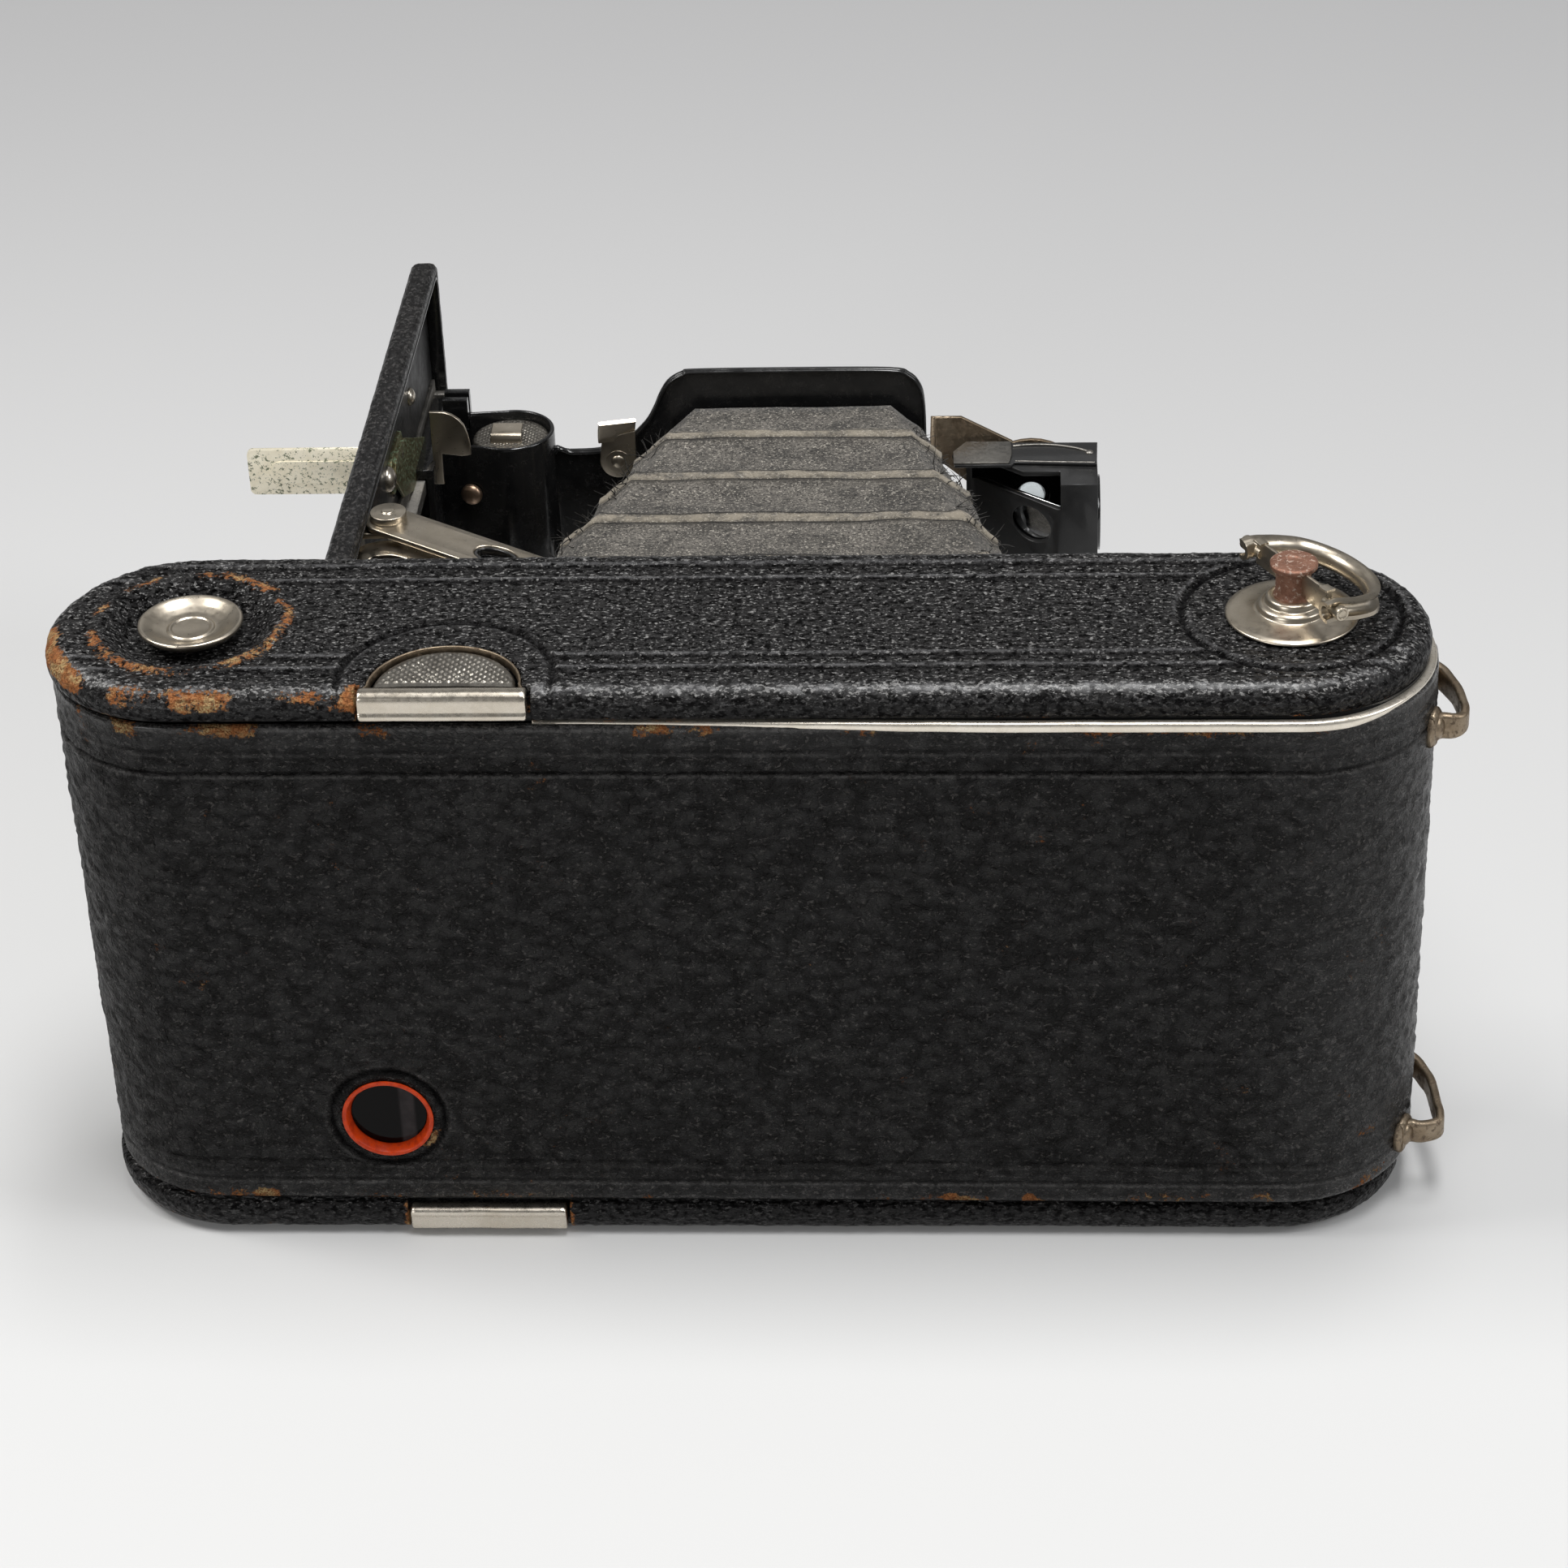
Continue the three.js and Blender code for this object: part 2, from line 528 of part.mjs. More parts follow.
// ---- bellows ------------------------------------------------------------
// Smooth tapering tube between two rectangles with cut corners.
function bellows() {
  const ring = (halfX, halfZ, corner, y) => [
    [halfX - corner, halfZ], [-halfX + corner, halfZ],
    [-halfX, halfZ - corner], [-halfX, -halfZ + corner],
    [-halfX + corner, -halfZ], [halfX - corner, -halfZ],
    [halfX, -halfZ + corner], [halfX, halfZ - corner],
  ].flatMap(([x, z]) => [AXIS_X + x, y, MID_Z + z]);
  const [backY, frontY] = [-17.4, 148.7];
  // outer skin from back to front, then the inner skin from front to back
  const points = [
    ...ring(70, 42, 3, backY), ...ring(26, 25, 6, frontY),
    ...ring(24, 23, 6, frontY), ...ring(68, 40, 3, backY)];
  const faces = [];
  for (let i = 0; i < 4; i++) {
    for (let j = 0; j < 8; j++) {
      const here = i * 8;
      const there = ((i + 1) % 4) * 8;
      const next = (j + 1) % 8;
      faces.push(here + j, here + next, there + next, here + j, there + next, there + j);
    }
  }
  const geometry = new THREE.BufferGeometry();
  geometry.setAttribute('position', new THREE.BufferAttribute(new Float32Array(points), 3));
  geometry.setIndex(faces);
  return solid(geometry);
}

// ---- lens standard ------------------------------------------------------
function carriage() {
  const flanges = SIDES.map(side => box(-75.9, CARRIAGE_X, CARRIAGE_Y0, CARRIAGE_Y1,
    offMiddle(side, 15.4), offMiddle(side, 17.4)));
  return join(midBox(-73.4, CARRIAGE_X, CARRIAGE_Y0, CARRIAGE_Y1, 17.4), ...flanges);
}

// Hollow round grip with a straight taper to the carriage, and four lugs beside it.
function footHousing() {
  const outline = (radius, x, y0, y1) => [
    ...arc(...DRUM, radius, -0.58 * Math.PI, 0.58 * Math.PI, 20), [x, y1], [x, y0]];
  const shell = cut(pull('z', outline(DRUM_R, CARRIAGE_X, FOOT_Y0, 158), 41, 75.4),
    cutter('z', outline(DRUM_R - 1.2, CARRIAGE_X + 1.2, FOOT_Y0 + 1.2, 156.8)));
  // y0, y1, z0, z1 of the lugs and of the bridges that join each pair
  const lugs = [
    [153.6, 155.4, 74.4, 81.6], [157.4, 159.2, 74.4, 81.6],
    [153.6, 155.4, 34.4, 42], [157.4, 159.2, 34.4, 42],
    [153.6, 159.2, 74.4, 76.4], [153.6, 159.2, 40, 42]];
  return join(shell, ...lugs.map(limits => box(CARRIAGE_X, -66.4, ...limits)));
}

// Disc inside the foot with a bent tab on its outer face.
function grip(side, innerZ) {
  const outerZ = innerZ + 2.2 * side;
  const tipZ = outerZ + 3.8 * side;
  return join(rod('z', DRUM, 7.6, innerZ, outerZ, 32),
    box(-60.6, -54, 146.6, 147.6, outerZ - 0.5 * side, tipZ),
    box(-60.6, -54, 146.6, 150.4, tipZ - side, tipZ));
}

// Flat rivet on the foot's sloping back wall; it narrows towards the back.
function housingRivet() {
  const slope = Math.atan2(DRUM[1] - 9 - FOOT_Y0, DRUM[0] - 1.6 - CARRIAGE_X);
  return rod('y', [0, 0], 1.9, -0.5, 0.5, 20, 2.2)
    .rotate([0, 0, THREE.MathUtils.radToDeg(slope)])
    .translate([-65.2, 141.42, 67]);
}

// Plate with a neck that flares out of its left side.
function standardPlate() {
  const top = 31.5;
  const flare = curvePoints([
    [-38.5, 13.5], [-34, 14.7], [-30.7, 16.4], [-28.4, 18.4], [-26.4, 21.2], [-25.5, 23]], 8);
  // upper half from the right edge over the top to the neck: x, height over the middle
  const upper = [
    [30.6, top - 6], [30, top - 3.2], [28.2, top - 1], [25, top], [-20.5, top],
    [-22, top - 0.7], [-23.3, 29.6], [-24.4, 27.2], [-25.1, 24.2],
    ...flare.reverse(), [-46.5, 13.5]];
  const outline = [
    ...upper.map(([x, z]) => [x, MID_Z + z]),
    ...upper.toReversed().map(([x, z]) => [x, MID_Z - z])];
  return cut(pull('y', outline, PLATE_Y, FACE_Y), hole('y', AXIS, 15, 36));
}

// Small lever behind the plate's neck, with its end bent back.
function clipLever() {
  const pivot = [-34.5, 69.8];
  const arm = [
    ...arc(...pivot, 3.9, 0.95 * Math.PI, 1.95 * Math.PI, 10), [-30.6, 77.4], [-37.6, 75.6]];
  const lip = [[-30.6, 77.2], [-37.6, 75.4], [-37.3, 77.6], [-30.4, 79.2]];
  return join(pull('y', arm, 147.5, 148.5),
    pull('y', lip, 145.6, 148.5),
    rod('y', pivot, 1.6, 146.8, 148.5, 18));
}

// Quarter-oval plate on a foot.
function focusPointer() {
  const outline = [[CARRIAGE_X, 69.6], ...arc(CARRIAGE_X, 70, 11, 0, Math.PI / 2, 10, 11.6)];
  return join(pull('y', outline, 139.6, 140.5), box(CARRIAGE_X, -71.2, 134, 140.5, 69.6, 75));
}

// ---- shutter and lens ---------------------------------------------------
// Here depths are measured forward from the standard plate's front.
const faceRod = (centre, radius, from, to, ...rest) =>
  rod('y', centre, radius, FACE_Y + from, FACE_Y + to, ...rest);
// x and z limits are measured from the optical axis.
const faceBox = (x0, x1, from, to, z0, z1) =>
  box(AXIS_X + x0, AXIS_X + x1, FACE_Y + from, FACE_Y + to, MID_Z + z0, MID_Z + z1);
const bladePost = side => [AXIS_X + side * BLADE_POST_X, MID_Z];

function shutterCase() {
  const cup = cut(faceRod(AXIS, 25, 0, 8.2, 32),
    faceRod(AXIS, 23.6, 1.2, 20, 32),
    hole('y', AXIS, 10, 28));
  return cut(join(cup, ...SIDES.map(side => faceRod(bladePost(side), 1, 1, 5.1, 12))),
    // windows in the rim for the release lever and for the stop lever
    faceBox(-27, -22.5, 4.9, 7.2, -3, 14),
    faceBox(-13, 13, 4.9, 7.2, -27, -19));
}

// Each blade covers half of the opening and has its arm on a post at the rim.
function shutterBlade(side, depth) {
  const limits = [FACE_Y + depth, FACE_Y + depth + 0.5];
  const half = side < 0 ? leftHalf : rightHalf;
  const armEnds = [AXIS_X + side * 20, AXIS_X + side * 9];
  const arm = roundedRect(Math.min(...armEnds), Math.max(...armEnds),
    MID_Z - 2.4, MID_Z + 2.4, 2.3, 4);
  return cut(join(pull('y', half(AXIS_X + side * 0.2, MID_Z, 10.6, 14), ...limits),
    pull('y', arm, ...limits)), hole('y', bladePost(side), 1.1, 12));
}

// Flat ring with an arm through the lower rim window.
function apertureLever() {
  return join(cut(faceRod(AXIS, 18, 5.4, 6.2, 36), hole('y', AXIS, 12, 32)),
    faceBox(-1.8, 1.8, 5.4, 6.2, -28.6, -16));
}

function shutterCover() {
  return cut(join(faceRod(AXIS, 25, 8.2, 9.4, 32), faceRod(AXIS, 22, 9.2, 10, 32, 24)),
    hole('y', AXIS, 11, 28),
    hole('y', DIAL, 1.6, 16));
}

function speedDial() {
  return join(faceRod(DIAL, 5, 10.2, 11.8, 28),
    faceRod(DIAL, 1.4, 7.4, 10.4, 16),
    faceBox(-0.6, 0.6, 11, 12.3, 19.6, 24.8));
}

function releaseLever() {
  return join(faceBox(-31, -20, 5.6, 6.5, 2, 5),
    faceRod([AXIS_X - 31, RELEASE_Z], 2.2, 5.2, 6.9, 20),
    faceRod([AXIS_X - 20.4, RELEASE_Z], 1.9, 5.2, 6.9, 18));
}

// Front profiles are [radius, depth]; rear profiles are [radius, y].
const turnFront = (profile, segments) =>
  turn('y', AXIS, profile.map(([radius, depth]) => [radius, FACE_Y + depth]), segments);

const frontLensCell = () => turnFront([
  [8.6, 4], [10.7, 4], [10.7, 10.1], [13.6, 10.1], [13.6, 14], [12.6, 18], [11, 18.2],
  [9.6, 16.6], [8.2, 16], [8.2, 11], [8.6, 10.6], [8.6, 4]], 24);
const frontLens = () => turnFront([
  [0, 12.4], [8, 13.2], [8, 15], [6, 15.7], [3, 16.2], [0, 16.4]], 20);
const rearLensCell = () => turn('y', AXIS, [
  [8.4, 140.4], [11.6, 140.4], [12.2, 141], [12.2, 148.7], [14.6, 148.7], [14.6, 150.1],
  [8.6, 150.1], [8.2, 147], [8.2, 142.6], [8.4, 140.4]], 24);
const rearLens = () => turn('y', AXIS, [
  [0, 142.3], [3, 142.5], [6, 143], [8, 143.8], [8, 145.4], [0, 146.2]], 20);

// ---- finder -------------------------------------------------------------
const FINDER_BOX = {
  x0: FINDER_X - 14, x1: FINDER_X + 14,
  y0: 147.2, y1: 166,
  z0: FINDER_Z - 12, z1: FINDER_Z + 12,
};
const FINDER_WALL = 1.2;
const EYE = [157.2, FINDER_Z]; // y, z of the eye lens

// Box with a slanted back-left wall, a round eye opening on the right and a ring in front.
function finderBody() {
  const { x0, x1, y0, y1, z0, z1 } = FINDER_BOX;
  const left = x0 + FINDER_WALL;
  const outside = [
    [x0, y1], [x0, y1 - 4], [x0 + 2.2, y1 - 4.2], [x1 - 8.6, y0], [x1, y0], [x1, y1]];
  const slant = [[left, y1 - 3], [x0 + 2.9, y1 - 3.3], [x1 - 7.9, y0 + FINDER_WALL]];
  const inside = [
    [left, y1 - FINDER_WALL], ...slant,
    [x1 - FINDER_WALL, y0 + FINDER_WALL], [x1 - FINDER_WALL, y1 - FINDER_WALL]];
  const hollow = cut(pull('z', outside, z0, z1),
    pull('z', inside, z0 + FINDER_WALL, z1 - FINDER_WALL),
    rod('x', EYE, 8.2, x1 - 3, x1 + 3, 28),
    // the slanted wall stops short of the hood above it
    pull('z', [[left, y1 - 6], ...slant, [x1 - 7.9, y0 - 1], [left, y0 - 1]],
      z1 - 6, z1 - FINDER_WALL),
    box(x0 - 1, x1 - 7.9, y0 - 1, 153.3, z1 - 6, z1 + 1));
  return cut(join(hollow, rod('y', FINDER, 4.9, y1 - 0.8, y1 + 2.6, 28)), hole('y', FINDER, 4.1));
}

function finderMirror() {
  const { x0, x1, y0, y1, z0, z1 } = FINDER_BOX;
  const ends = [[x0 + 3.2, y1 - 3.4], [x1 - 8, y0 + 1.9]];
  const frontFace = ends.map(([x, y]) => [x + 0.45, y + 0.55]).reverse();
  return pull('z', [...ends, ...frontFace], z0 + 1.4, z1 - 6.2);
}

const finderEyeLens = () => rod('x', EYE, 8.1, FINDER_BOX.x1 - 1.1, FINDER_BOX.x1 + 0.6, 28);
const finderFrontLens = () => rod('y', FINDER, 4.05, FINDER_BOX.y1 + 0.2, FINDER_BOX.y1 + 1.6);

// Disc around the finder's ring, with an arm bent back to the standard plate.
function finderBracket() {
  const [x, z] = FINDER;
  const arm = [[x - 6, z + 6], [x - 11, z], [31.4, 60.5], [31.4, 69.5], [38, 69.5], [x - 4, z + 12]];
  return cut(join(rod('y', FINDER, 12.5, 167, 168, 36),
    pull('y', arm, 167, 168),
    box(31.4, 32.4, 150.2, 168, 60.5, 69.5),
    box(28.6, 32.4, 150.2, 151.2, 60.5, 69.5)), hole('y', FINDER, 5, 28));
}

// ---- assembly -----------------------------------------------------------
const camera = new THREE.Group();

function add(name, body, finish) {
  const { vertProperties, triVerts } = body.getMesh();
  const geometry = new THREE.BufferGeometry();
  geometry.setAttribute('position', new THREE.BufferAttribute(vertProperties, 3));
  geometry.setIndex(new THREE.BufferAttribute(triVerts, 1));
  geometry.computeVertexNormals();
  const mesh = new THREE.Mesh(geometry, new THREE.MeshStandardMaterial(finish));
  mesh.name = name;
  camera.add(mesh);
}

add('side_panel_top', topPanel(), LEATHER);
add('side_panel_bottom', bottomPanel(), LEATHER);
add('body_frame', bodyFrame(), LEATHER);
add('film_gate', filmGate(), ENAMEL);
add('guide_roller_left', guideRoller(-1), NICKEL);
add('guide_roller_right', guideRoller(1), NICKEL);
add('takeup_spool', takeupSpool(), SPOOL_BROWN);
add('supply_spool', supplySpool(), SPOOL_BROWN);
add('supply_knob', supplyKnob(), NICKEL);
add('tripod_bush', tripodBush(), NICKEL);
add('key_post', keyPost(), POST_METAL);
add('key_blade', keyBlade(), NICKEL);
add('key_bail', keyBail(), NICKEL);
add('latch_top', latch(-26.2, [110.9, 116.9], [114, 115.2], [114, 115.4]), NICKEL);
add('latch_bottom', latch(-26, [0.4, 6.3], [0.9, 2.1], [0.8, 2.1]), NICKEL);
add('back_cover', backCover(), LEATHER);
add('cover_trim', coverTrim(), NICKEL);
add('window_ring', windowRing(), RING_ORANGE);
add('window_glass', windowGlass(), RED_GLASS);
add('pressure_plate', pressurePlate(), ENAMEL);
add('strap_lug_upper', strapLug(98.5), STEEL);
add('strap_lug_lower', strapLug(13.5), STEEL);
add('bed_panel', bedPanel(), LEATHER);
add('bed_hinge_upper', bedHinge(1), STEEL);
add('bed_hinge_lower', bedHinge(-1), STEEL);
add('bed_track', bedTrack(), STEEL);
add('body_track', bodyTrack(), STEEL);
add('brace_upper', brace(1, TOP_Z), NICKEL);
add('brace_rivet_upper', braceRivet(1, 33.6), NICKEL);
add('brace_lower', brace(-1, LOW_Z), NICKEL);
add('brace_rivet_lower', braceRivet(-1, 33.8), NICKEL);
add('focus_scale', focusScale(), BRASS);
add('leg_bracket', legBracket(), NICKEL);
add('stand_leg', standLeg(), NICKEL);
add('bellows', bellows(), BELLOWS_GREY);
add('carriage', carriage(), ENAMEL);
add('foot_housing', footHousing(), ENAMEL);
add('grip_upper', grip(1, 70.6), STEEL);
add('grip_lower', grip(-1, 45.4), STEEL);
add('housing_rivet', housingRivet(), RIVET_METAL);
add('standard_plate', standardPlate(), ENAMEL);
add('clip_lever', clipLever(), NICKEL);
add('focus_pointer', focusPointer(), NICKEL);
add('shutter_case', shutterCase(), ENAMEL);
add('shutter_blade_left', shutterBlade(-1, 2), STEEL);
add('shutter_blade_right', shutterBlade(1, 2.9), STEEL);
add('aperture_lever', apertureLever(), NICKEL);
add('shutter_cover', shutterCover(), ENAMEL);
add('speed_dial', speedDial(), NICKEL);
add('release_lever', releaseLever(), NICKEL);
add('front_lens_cell', frontLensCell(), NICKEL);
add('front_lens', frontLens(), GLASS);
add('rear_lens_cell', rearLensCell(), NICKEL);
add('rear_lens', rearLens(), GLASS);
add('finder_body', finderBody(), ENAMEL);
add('finder_mirror', finderMirror(), MIRROR);
add('finder_eye_lens', finderEyeLens(), GLASS);
add('finder_front_lens', finderFrontLens(), GLASS);
add('finder_bracket', finderBracket(), NICKEL);

export default camera;
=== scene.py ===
"""A folding roll-film camera lying open, with its looks built over the CAD pieces.

Lengths are in mm until a mesh is made. X runs along the body, the removable back faces -Y,
the bellows and lens standard reach out to +Y, and Z is up. The opened bed stands at -X.
"""
import json
import math
import bpy
import bmesh
import numpy as np
from mathutils import Matrix, Vector
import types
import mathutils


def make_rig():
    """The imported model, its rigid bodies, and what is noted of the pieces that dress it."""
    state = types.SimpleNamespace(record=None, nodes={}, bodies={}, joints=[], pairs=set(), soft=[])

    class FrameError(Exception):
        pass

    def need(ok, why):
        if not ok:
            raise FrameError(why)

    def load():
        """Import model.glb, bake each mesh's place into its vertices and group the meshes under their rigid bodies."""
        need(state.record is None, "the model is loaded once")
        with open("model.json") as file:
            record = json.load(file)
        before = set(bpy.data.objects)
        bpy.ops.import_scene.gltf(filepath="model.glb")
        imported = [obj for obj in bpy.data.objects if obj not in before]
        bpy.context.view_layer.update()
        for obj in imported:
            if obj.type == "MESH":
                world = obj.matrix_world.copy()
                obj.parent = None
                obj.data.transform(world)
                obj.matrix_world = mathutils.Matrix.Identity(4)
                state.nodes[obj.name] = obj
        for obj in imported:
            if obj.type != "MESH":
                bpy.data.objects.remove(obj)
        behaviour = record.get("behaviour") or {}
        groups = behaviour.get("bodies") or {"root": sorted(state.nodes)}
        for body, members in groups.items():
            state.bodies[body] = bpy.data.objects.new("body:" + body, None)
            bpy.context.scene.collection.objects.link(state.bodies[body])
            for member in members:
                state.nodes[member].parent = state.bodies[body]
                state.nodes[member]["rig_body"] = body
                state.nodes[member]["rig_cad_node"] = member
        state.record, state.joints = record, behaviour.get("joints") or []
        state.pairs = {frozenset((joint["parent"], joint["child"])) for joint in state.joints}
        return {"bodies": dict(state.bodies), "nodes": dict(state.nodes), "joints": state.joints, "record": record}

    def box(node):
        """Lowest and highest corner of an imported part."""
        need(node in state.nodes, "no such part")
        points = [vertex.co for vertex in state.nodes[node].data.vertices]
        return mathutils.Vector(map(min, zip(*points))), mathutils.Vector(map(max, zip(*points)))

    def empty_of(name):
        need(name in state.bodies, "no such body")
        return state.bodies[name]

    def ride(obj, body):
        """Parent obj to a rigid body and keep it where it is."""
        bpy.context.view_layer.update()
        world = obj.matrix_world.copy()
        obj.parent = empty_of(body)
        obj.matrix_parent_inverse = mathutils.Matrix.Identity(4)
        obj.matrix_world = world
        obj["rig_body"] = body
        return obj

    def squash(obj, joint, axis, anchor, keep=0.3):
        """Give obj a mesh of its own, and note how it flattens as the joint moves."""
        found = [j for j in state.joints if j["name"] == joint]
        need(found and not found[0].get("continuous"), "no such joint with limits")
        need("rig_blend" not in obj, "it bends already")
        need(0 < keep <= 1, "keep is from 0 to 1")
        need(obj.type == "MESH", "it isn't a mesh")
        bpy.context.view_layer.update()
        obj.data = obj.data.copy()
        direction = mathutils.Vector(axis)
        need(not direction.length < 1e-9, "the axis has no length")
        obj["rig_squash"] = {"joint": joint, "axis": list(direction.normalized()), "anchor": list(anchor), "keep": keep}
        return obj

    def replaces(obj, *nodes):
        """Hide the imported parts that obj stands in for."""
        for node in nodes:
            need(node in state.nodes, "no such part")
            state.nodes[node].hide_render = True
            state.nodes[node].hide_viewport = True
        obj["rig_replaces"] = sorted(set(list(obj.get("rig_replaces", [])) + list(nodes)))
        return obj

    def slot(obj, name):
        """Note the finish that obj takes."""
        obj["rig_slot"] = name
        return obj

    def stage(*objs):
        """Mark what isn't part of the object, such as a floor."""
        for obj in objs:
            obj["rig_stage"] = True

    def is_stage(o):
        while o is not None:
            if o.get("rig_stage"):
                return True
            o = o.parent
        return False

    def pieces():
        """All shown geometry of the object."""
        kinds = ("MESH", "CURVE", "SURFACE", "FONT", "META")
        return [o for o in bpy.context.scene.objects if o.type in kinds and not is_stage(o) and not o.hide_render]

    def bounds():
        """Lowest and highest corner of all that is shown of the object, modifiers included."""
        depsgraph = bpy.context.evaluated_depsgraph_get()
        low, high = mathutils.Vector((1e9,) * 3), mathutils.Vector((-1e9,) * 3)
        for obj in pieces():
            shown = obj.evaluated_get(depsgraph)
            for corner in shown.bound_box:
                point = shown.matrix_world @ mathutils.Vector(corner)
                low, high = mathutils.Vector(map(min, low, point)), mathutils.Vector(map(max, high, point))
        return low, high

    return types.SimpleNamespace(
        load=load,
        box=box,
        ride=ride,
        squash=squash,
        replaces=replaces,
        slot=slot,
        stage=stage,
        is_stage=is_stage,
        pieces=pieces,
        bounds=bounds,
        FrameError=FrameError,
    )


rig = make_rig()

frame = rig.load()
CAD_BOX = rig.bounds()
MM = 0.001                    # metres in a millimetre
WELD = 0.0005                 # distance within which doubled points join


def box_mm(node):
    low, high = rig.box(node)
    return [c * 1000 for c in low], [c * 1000 for c in high]


def centre_mm(node):
    return [(a + b) / 2 for a, b in zip(*box_mm(node))]


# ---------------------------------------------------------------- driving sizes, mm
KNOB_X, KNOB_Y, _ = centre_mm("supply_knob")
KEY_X, KEY_Y, _ = centre_mm("key_post")
LATCH_LOW, LATCH_HIGH = box_mm("latch_top")
LATCH_X = (LATCH_LOW[0] + LATCH_HIGH[0]) / 2
LATCH_HALF = (LATCH_HIGH[0] - LATCH_LOW[0]) / 2
LATCH_Y = LATCH_LOW[1]
PAD_Y = LATCH_Y + 4.6                       # centre of the latch's half-moon pad
PANEL_LOW, PANEL_HIGH = box_mm("side_panel_top")
END_R = (PANEL_HIGH[1] - PANEL_LOW[1]) / 2  # radius of the panels' round ends
END_X = PANEL_HIGH[0] - END_R               # centre of the right-hand end
LOWER_INNER_Z = 6.7                         # inner face of the lower panel
COVER_LOW, COVER_HIGH = box_mm("back_cover")
COVER_RIGHT_R = 25.0
COVER_RIGHT_X = COVER_HIGH[0] - COVER_RIGHT_R
COVER_RIGHT_Y = -0.6
COVER_LEFT_R = -COVER_LOW[0] - END_X        # the left bend is centred on (-END_X, 0)
SEAM_Y = COVER_HIGH[1]                      # where the back meets the body
WINDOW_LOW, WINDOW_HIGH = box_mm("window_ring")
WINDOW_X, _, WINDOW_Z = centre_mm("window_ring")
WINDOW_R = (WINDOW_HIGH[0] - WINDOW_LOW[0]) / 2
BED_LOW, BED_HIGH = box_mm("bed_panel")
BED_X = BED_LOW[0]                          # outer face of the bed
BED_THICK = 5.5
BED_Y0, BED_Y1 = 25.5, BED_HIGH[1]
BED_Z = (BED_LOW[2] + BED_HIGH[2]) / 2
BED_HALF = (BED_HIGH[2] - BED_LOW[2]) / 2
LENS_X, LENS_Z = 3.0, 58.0                  # the lens and bellows axis runs along Y


# ---------------------------------------------------------------- noise
def lattice_random(ix, iy, iz, seed):
    """repeatable value from 0 to 1 at each whole-number point"""
    u64 = np.uint64
    mask = u64(0xFFFFFFFF)
    ix, iy, iz = (i.astype(np.int64).astype(u64) for i in (ix, iy, iz))
    h = (ix * u64(374761393) + iy * u64(668265263) + iz * u64(2246822519)
         + u64(seed * 3266489917 % 4294967296)) & mask
    h = ((h ^ (h >> u64(15))) * u64(2246822519)) & mask
    h = ((h ^ (h >> u64(13))) * u64(3266489917)) & mask
    h = h ^ (h >> u64(16))
    return h.astype(np.float64) / 4294967296.0


def value_noise(points, size, seed):
    """smooth noise from -1 to 1; size is the cell in mm (a number or three)"""
    q = points / np.array(size, float)
    cell = np.floor(q)
    f = q - cell
    ease = f * f * f * (f * (f * 6 - 15) + 10)
    cell = cell.astype(np.int64)
    total = 0
    for dx in (0, 1):
        for dy in (0, 1):
            for dz in (0, 1):
                weight = 1.0
                for axis, d in enumerate((dx, dy, dz)):
                    weight = weight * (ease[:, axis] if d else 1 - ease[:, axis])
                total = total + weight * lattice_random(
                    cell[:, 0] + dx, cell[:, 1] + dy, cell[:, 2] + dz, seed)
    return total * 2 - 1


def fbm(points, size, seed, octaves=3):
    """layers of noise, each half the size and strength of the last"""
    total, strength, weight = 0, 1.0, 0
    size = np.array(size, float)
    for k in range(octaves):
        total = total + strength * value_noise(points, size / 2 ** k, seed + k * 17)
        weight += strength
        strength *= 0.5
    return total / weight


def cell_distances(points, size, seed):
    """first and second distance to scattered points"""
    q = points / np.array(size, float)
    home = np.floor(q).astype(np.int64)
    first = np.full(len(points), 9.0)
    second = first.copy()
    for dx in (-1, 0, 1):
        for dy in (-1, 0, 1):
            for dz in (-1, 0, 1):
                c = home + np.array([dx, dy, dz])
                offset = np.stack([lattice_random(c[:, 0], c[:, 1], c[:, 2], seed + k)
                                   for k in (11, 23, 37)], 1)
                d = np.linalg.norm(c + offset - q, axis=1)
                nearer = d < first
                second = np.where(nearer, first, np.minimum(second, d))
                first = np.where(nearer, d, first)
    return first, second


def smooth(start, end, x):
    t = np.clip((x - start) / (end - start), 0, 1)
    return t * t * (3 - 2 * t)


def bell(x, middle, width):
    return np.exp(-((x - middle) / width) ** 2)


# ---------------------------------------------------------------- shapes: (verts, faces)
def grid(nu, nv, close_u=False, close_v=False):
    faces = []
    for i in range(nu if close_u else nu - 1):
        for j in range(nv if close_v else nv - 1):
            i2, j2 = (i + 1) % nu, (j + 1) % nv
            faces.append((i * nv + j, i2 * nv + j, i2 * nv + j2, i * nv + j2))
    return faces


def tube_faces(rings, per_ring):
    """closed rings joined in a row, with both ends capped"""
    caps = [tuple(range(per_ring))[::-1],
            tuple((rings - 1) * per_ring + j for j in range(per_ring))]
    return grid(rings, per_ring, close_v=True) + caps


def vertex_normals(verts, quads):
    normals = np.zeros_like(verts)
    face = np.cross(verts[quads[:, 2]] - verts[quads[:, 0]],
                    verts[quads[:, 3]] - verts[quads[:, 1]])
    for k in range(4):
        np.add.at(normals, quads[:, k], face)
    return normals / np.maximum(np.linalg.norm(normals, axis=1), 1e-12)[:, None]


NAMED_AXES = {
    "x": np.array([[0, 1, 0], [0, 0, 1], [1, 0, 0]], float),
    "y": np.array([[0, 0, 1], [1, 0, 0], [0, 1, 0]], float),
    "z": np.eye(3),
}


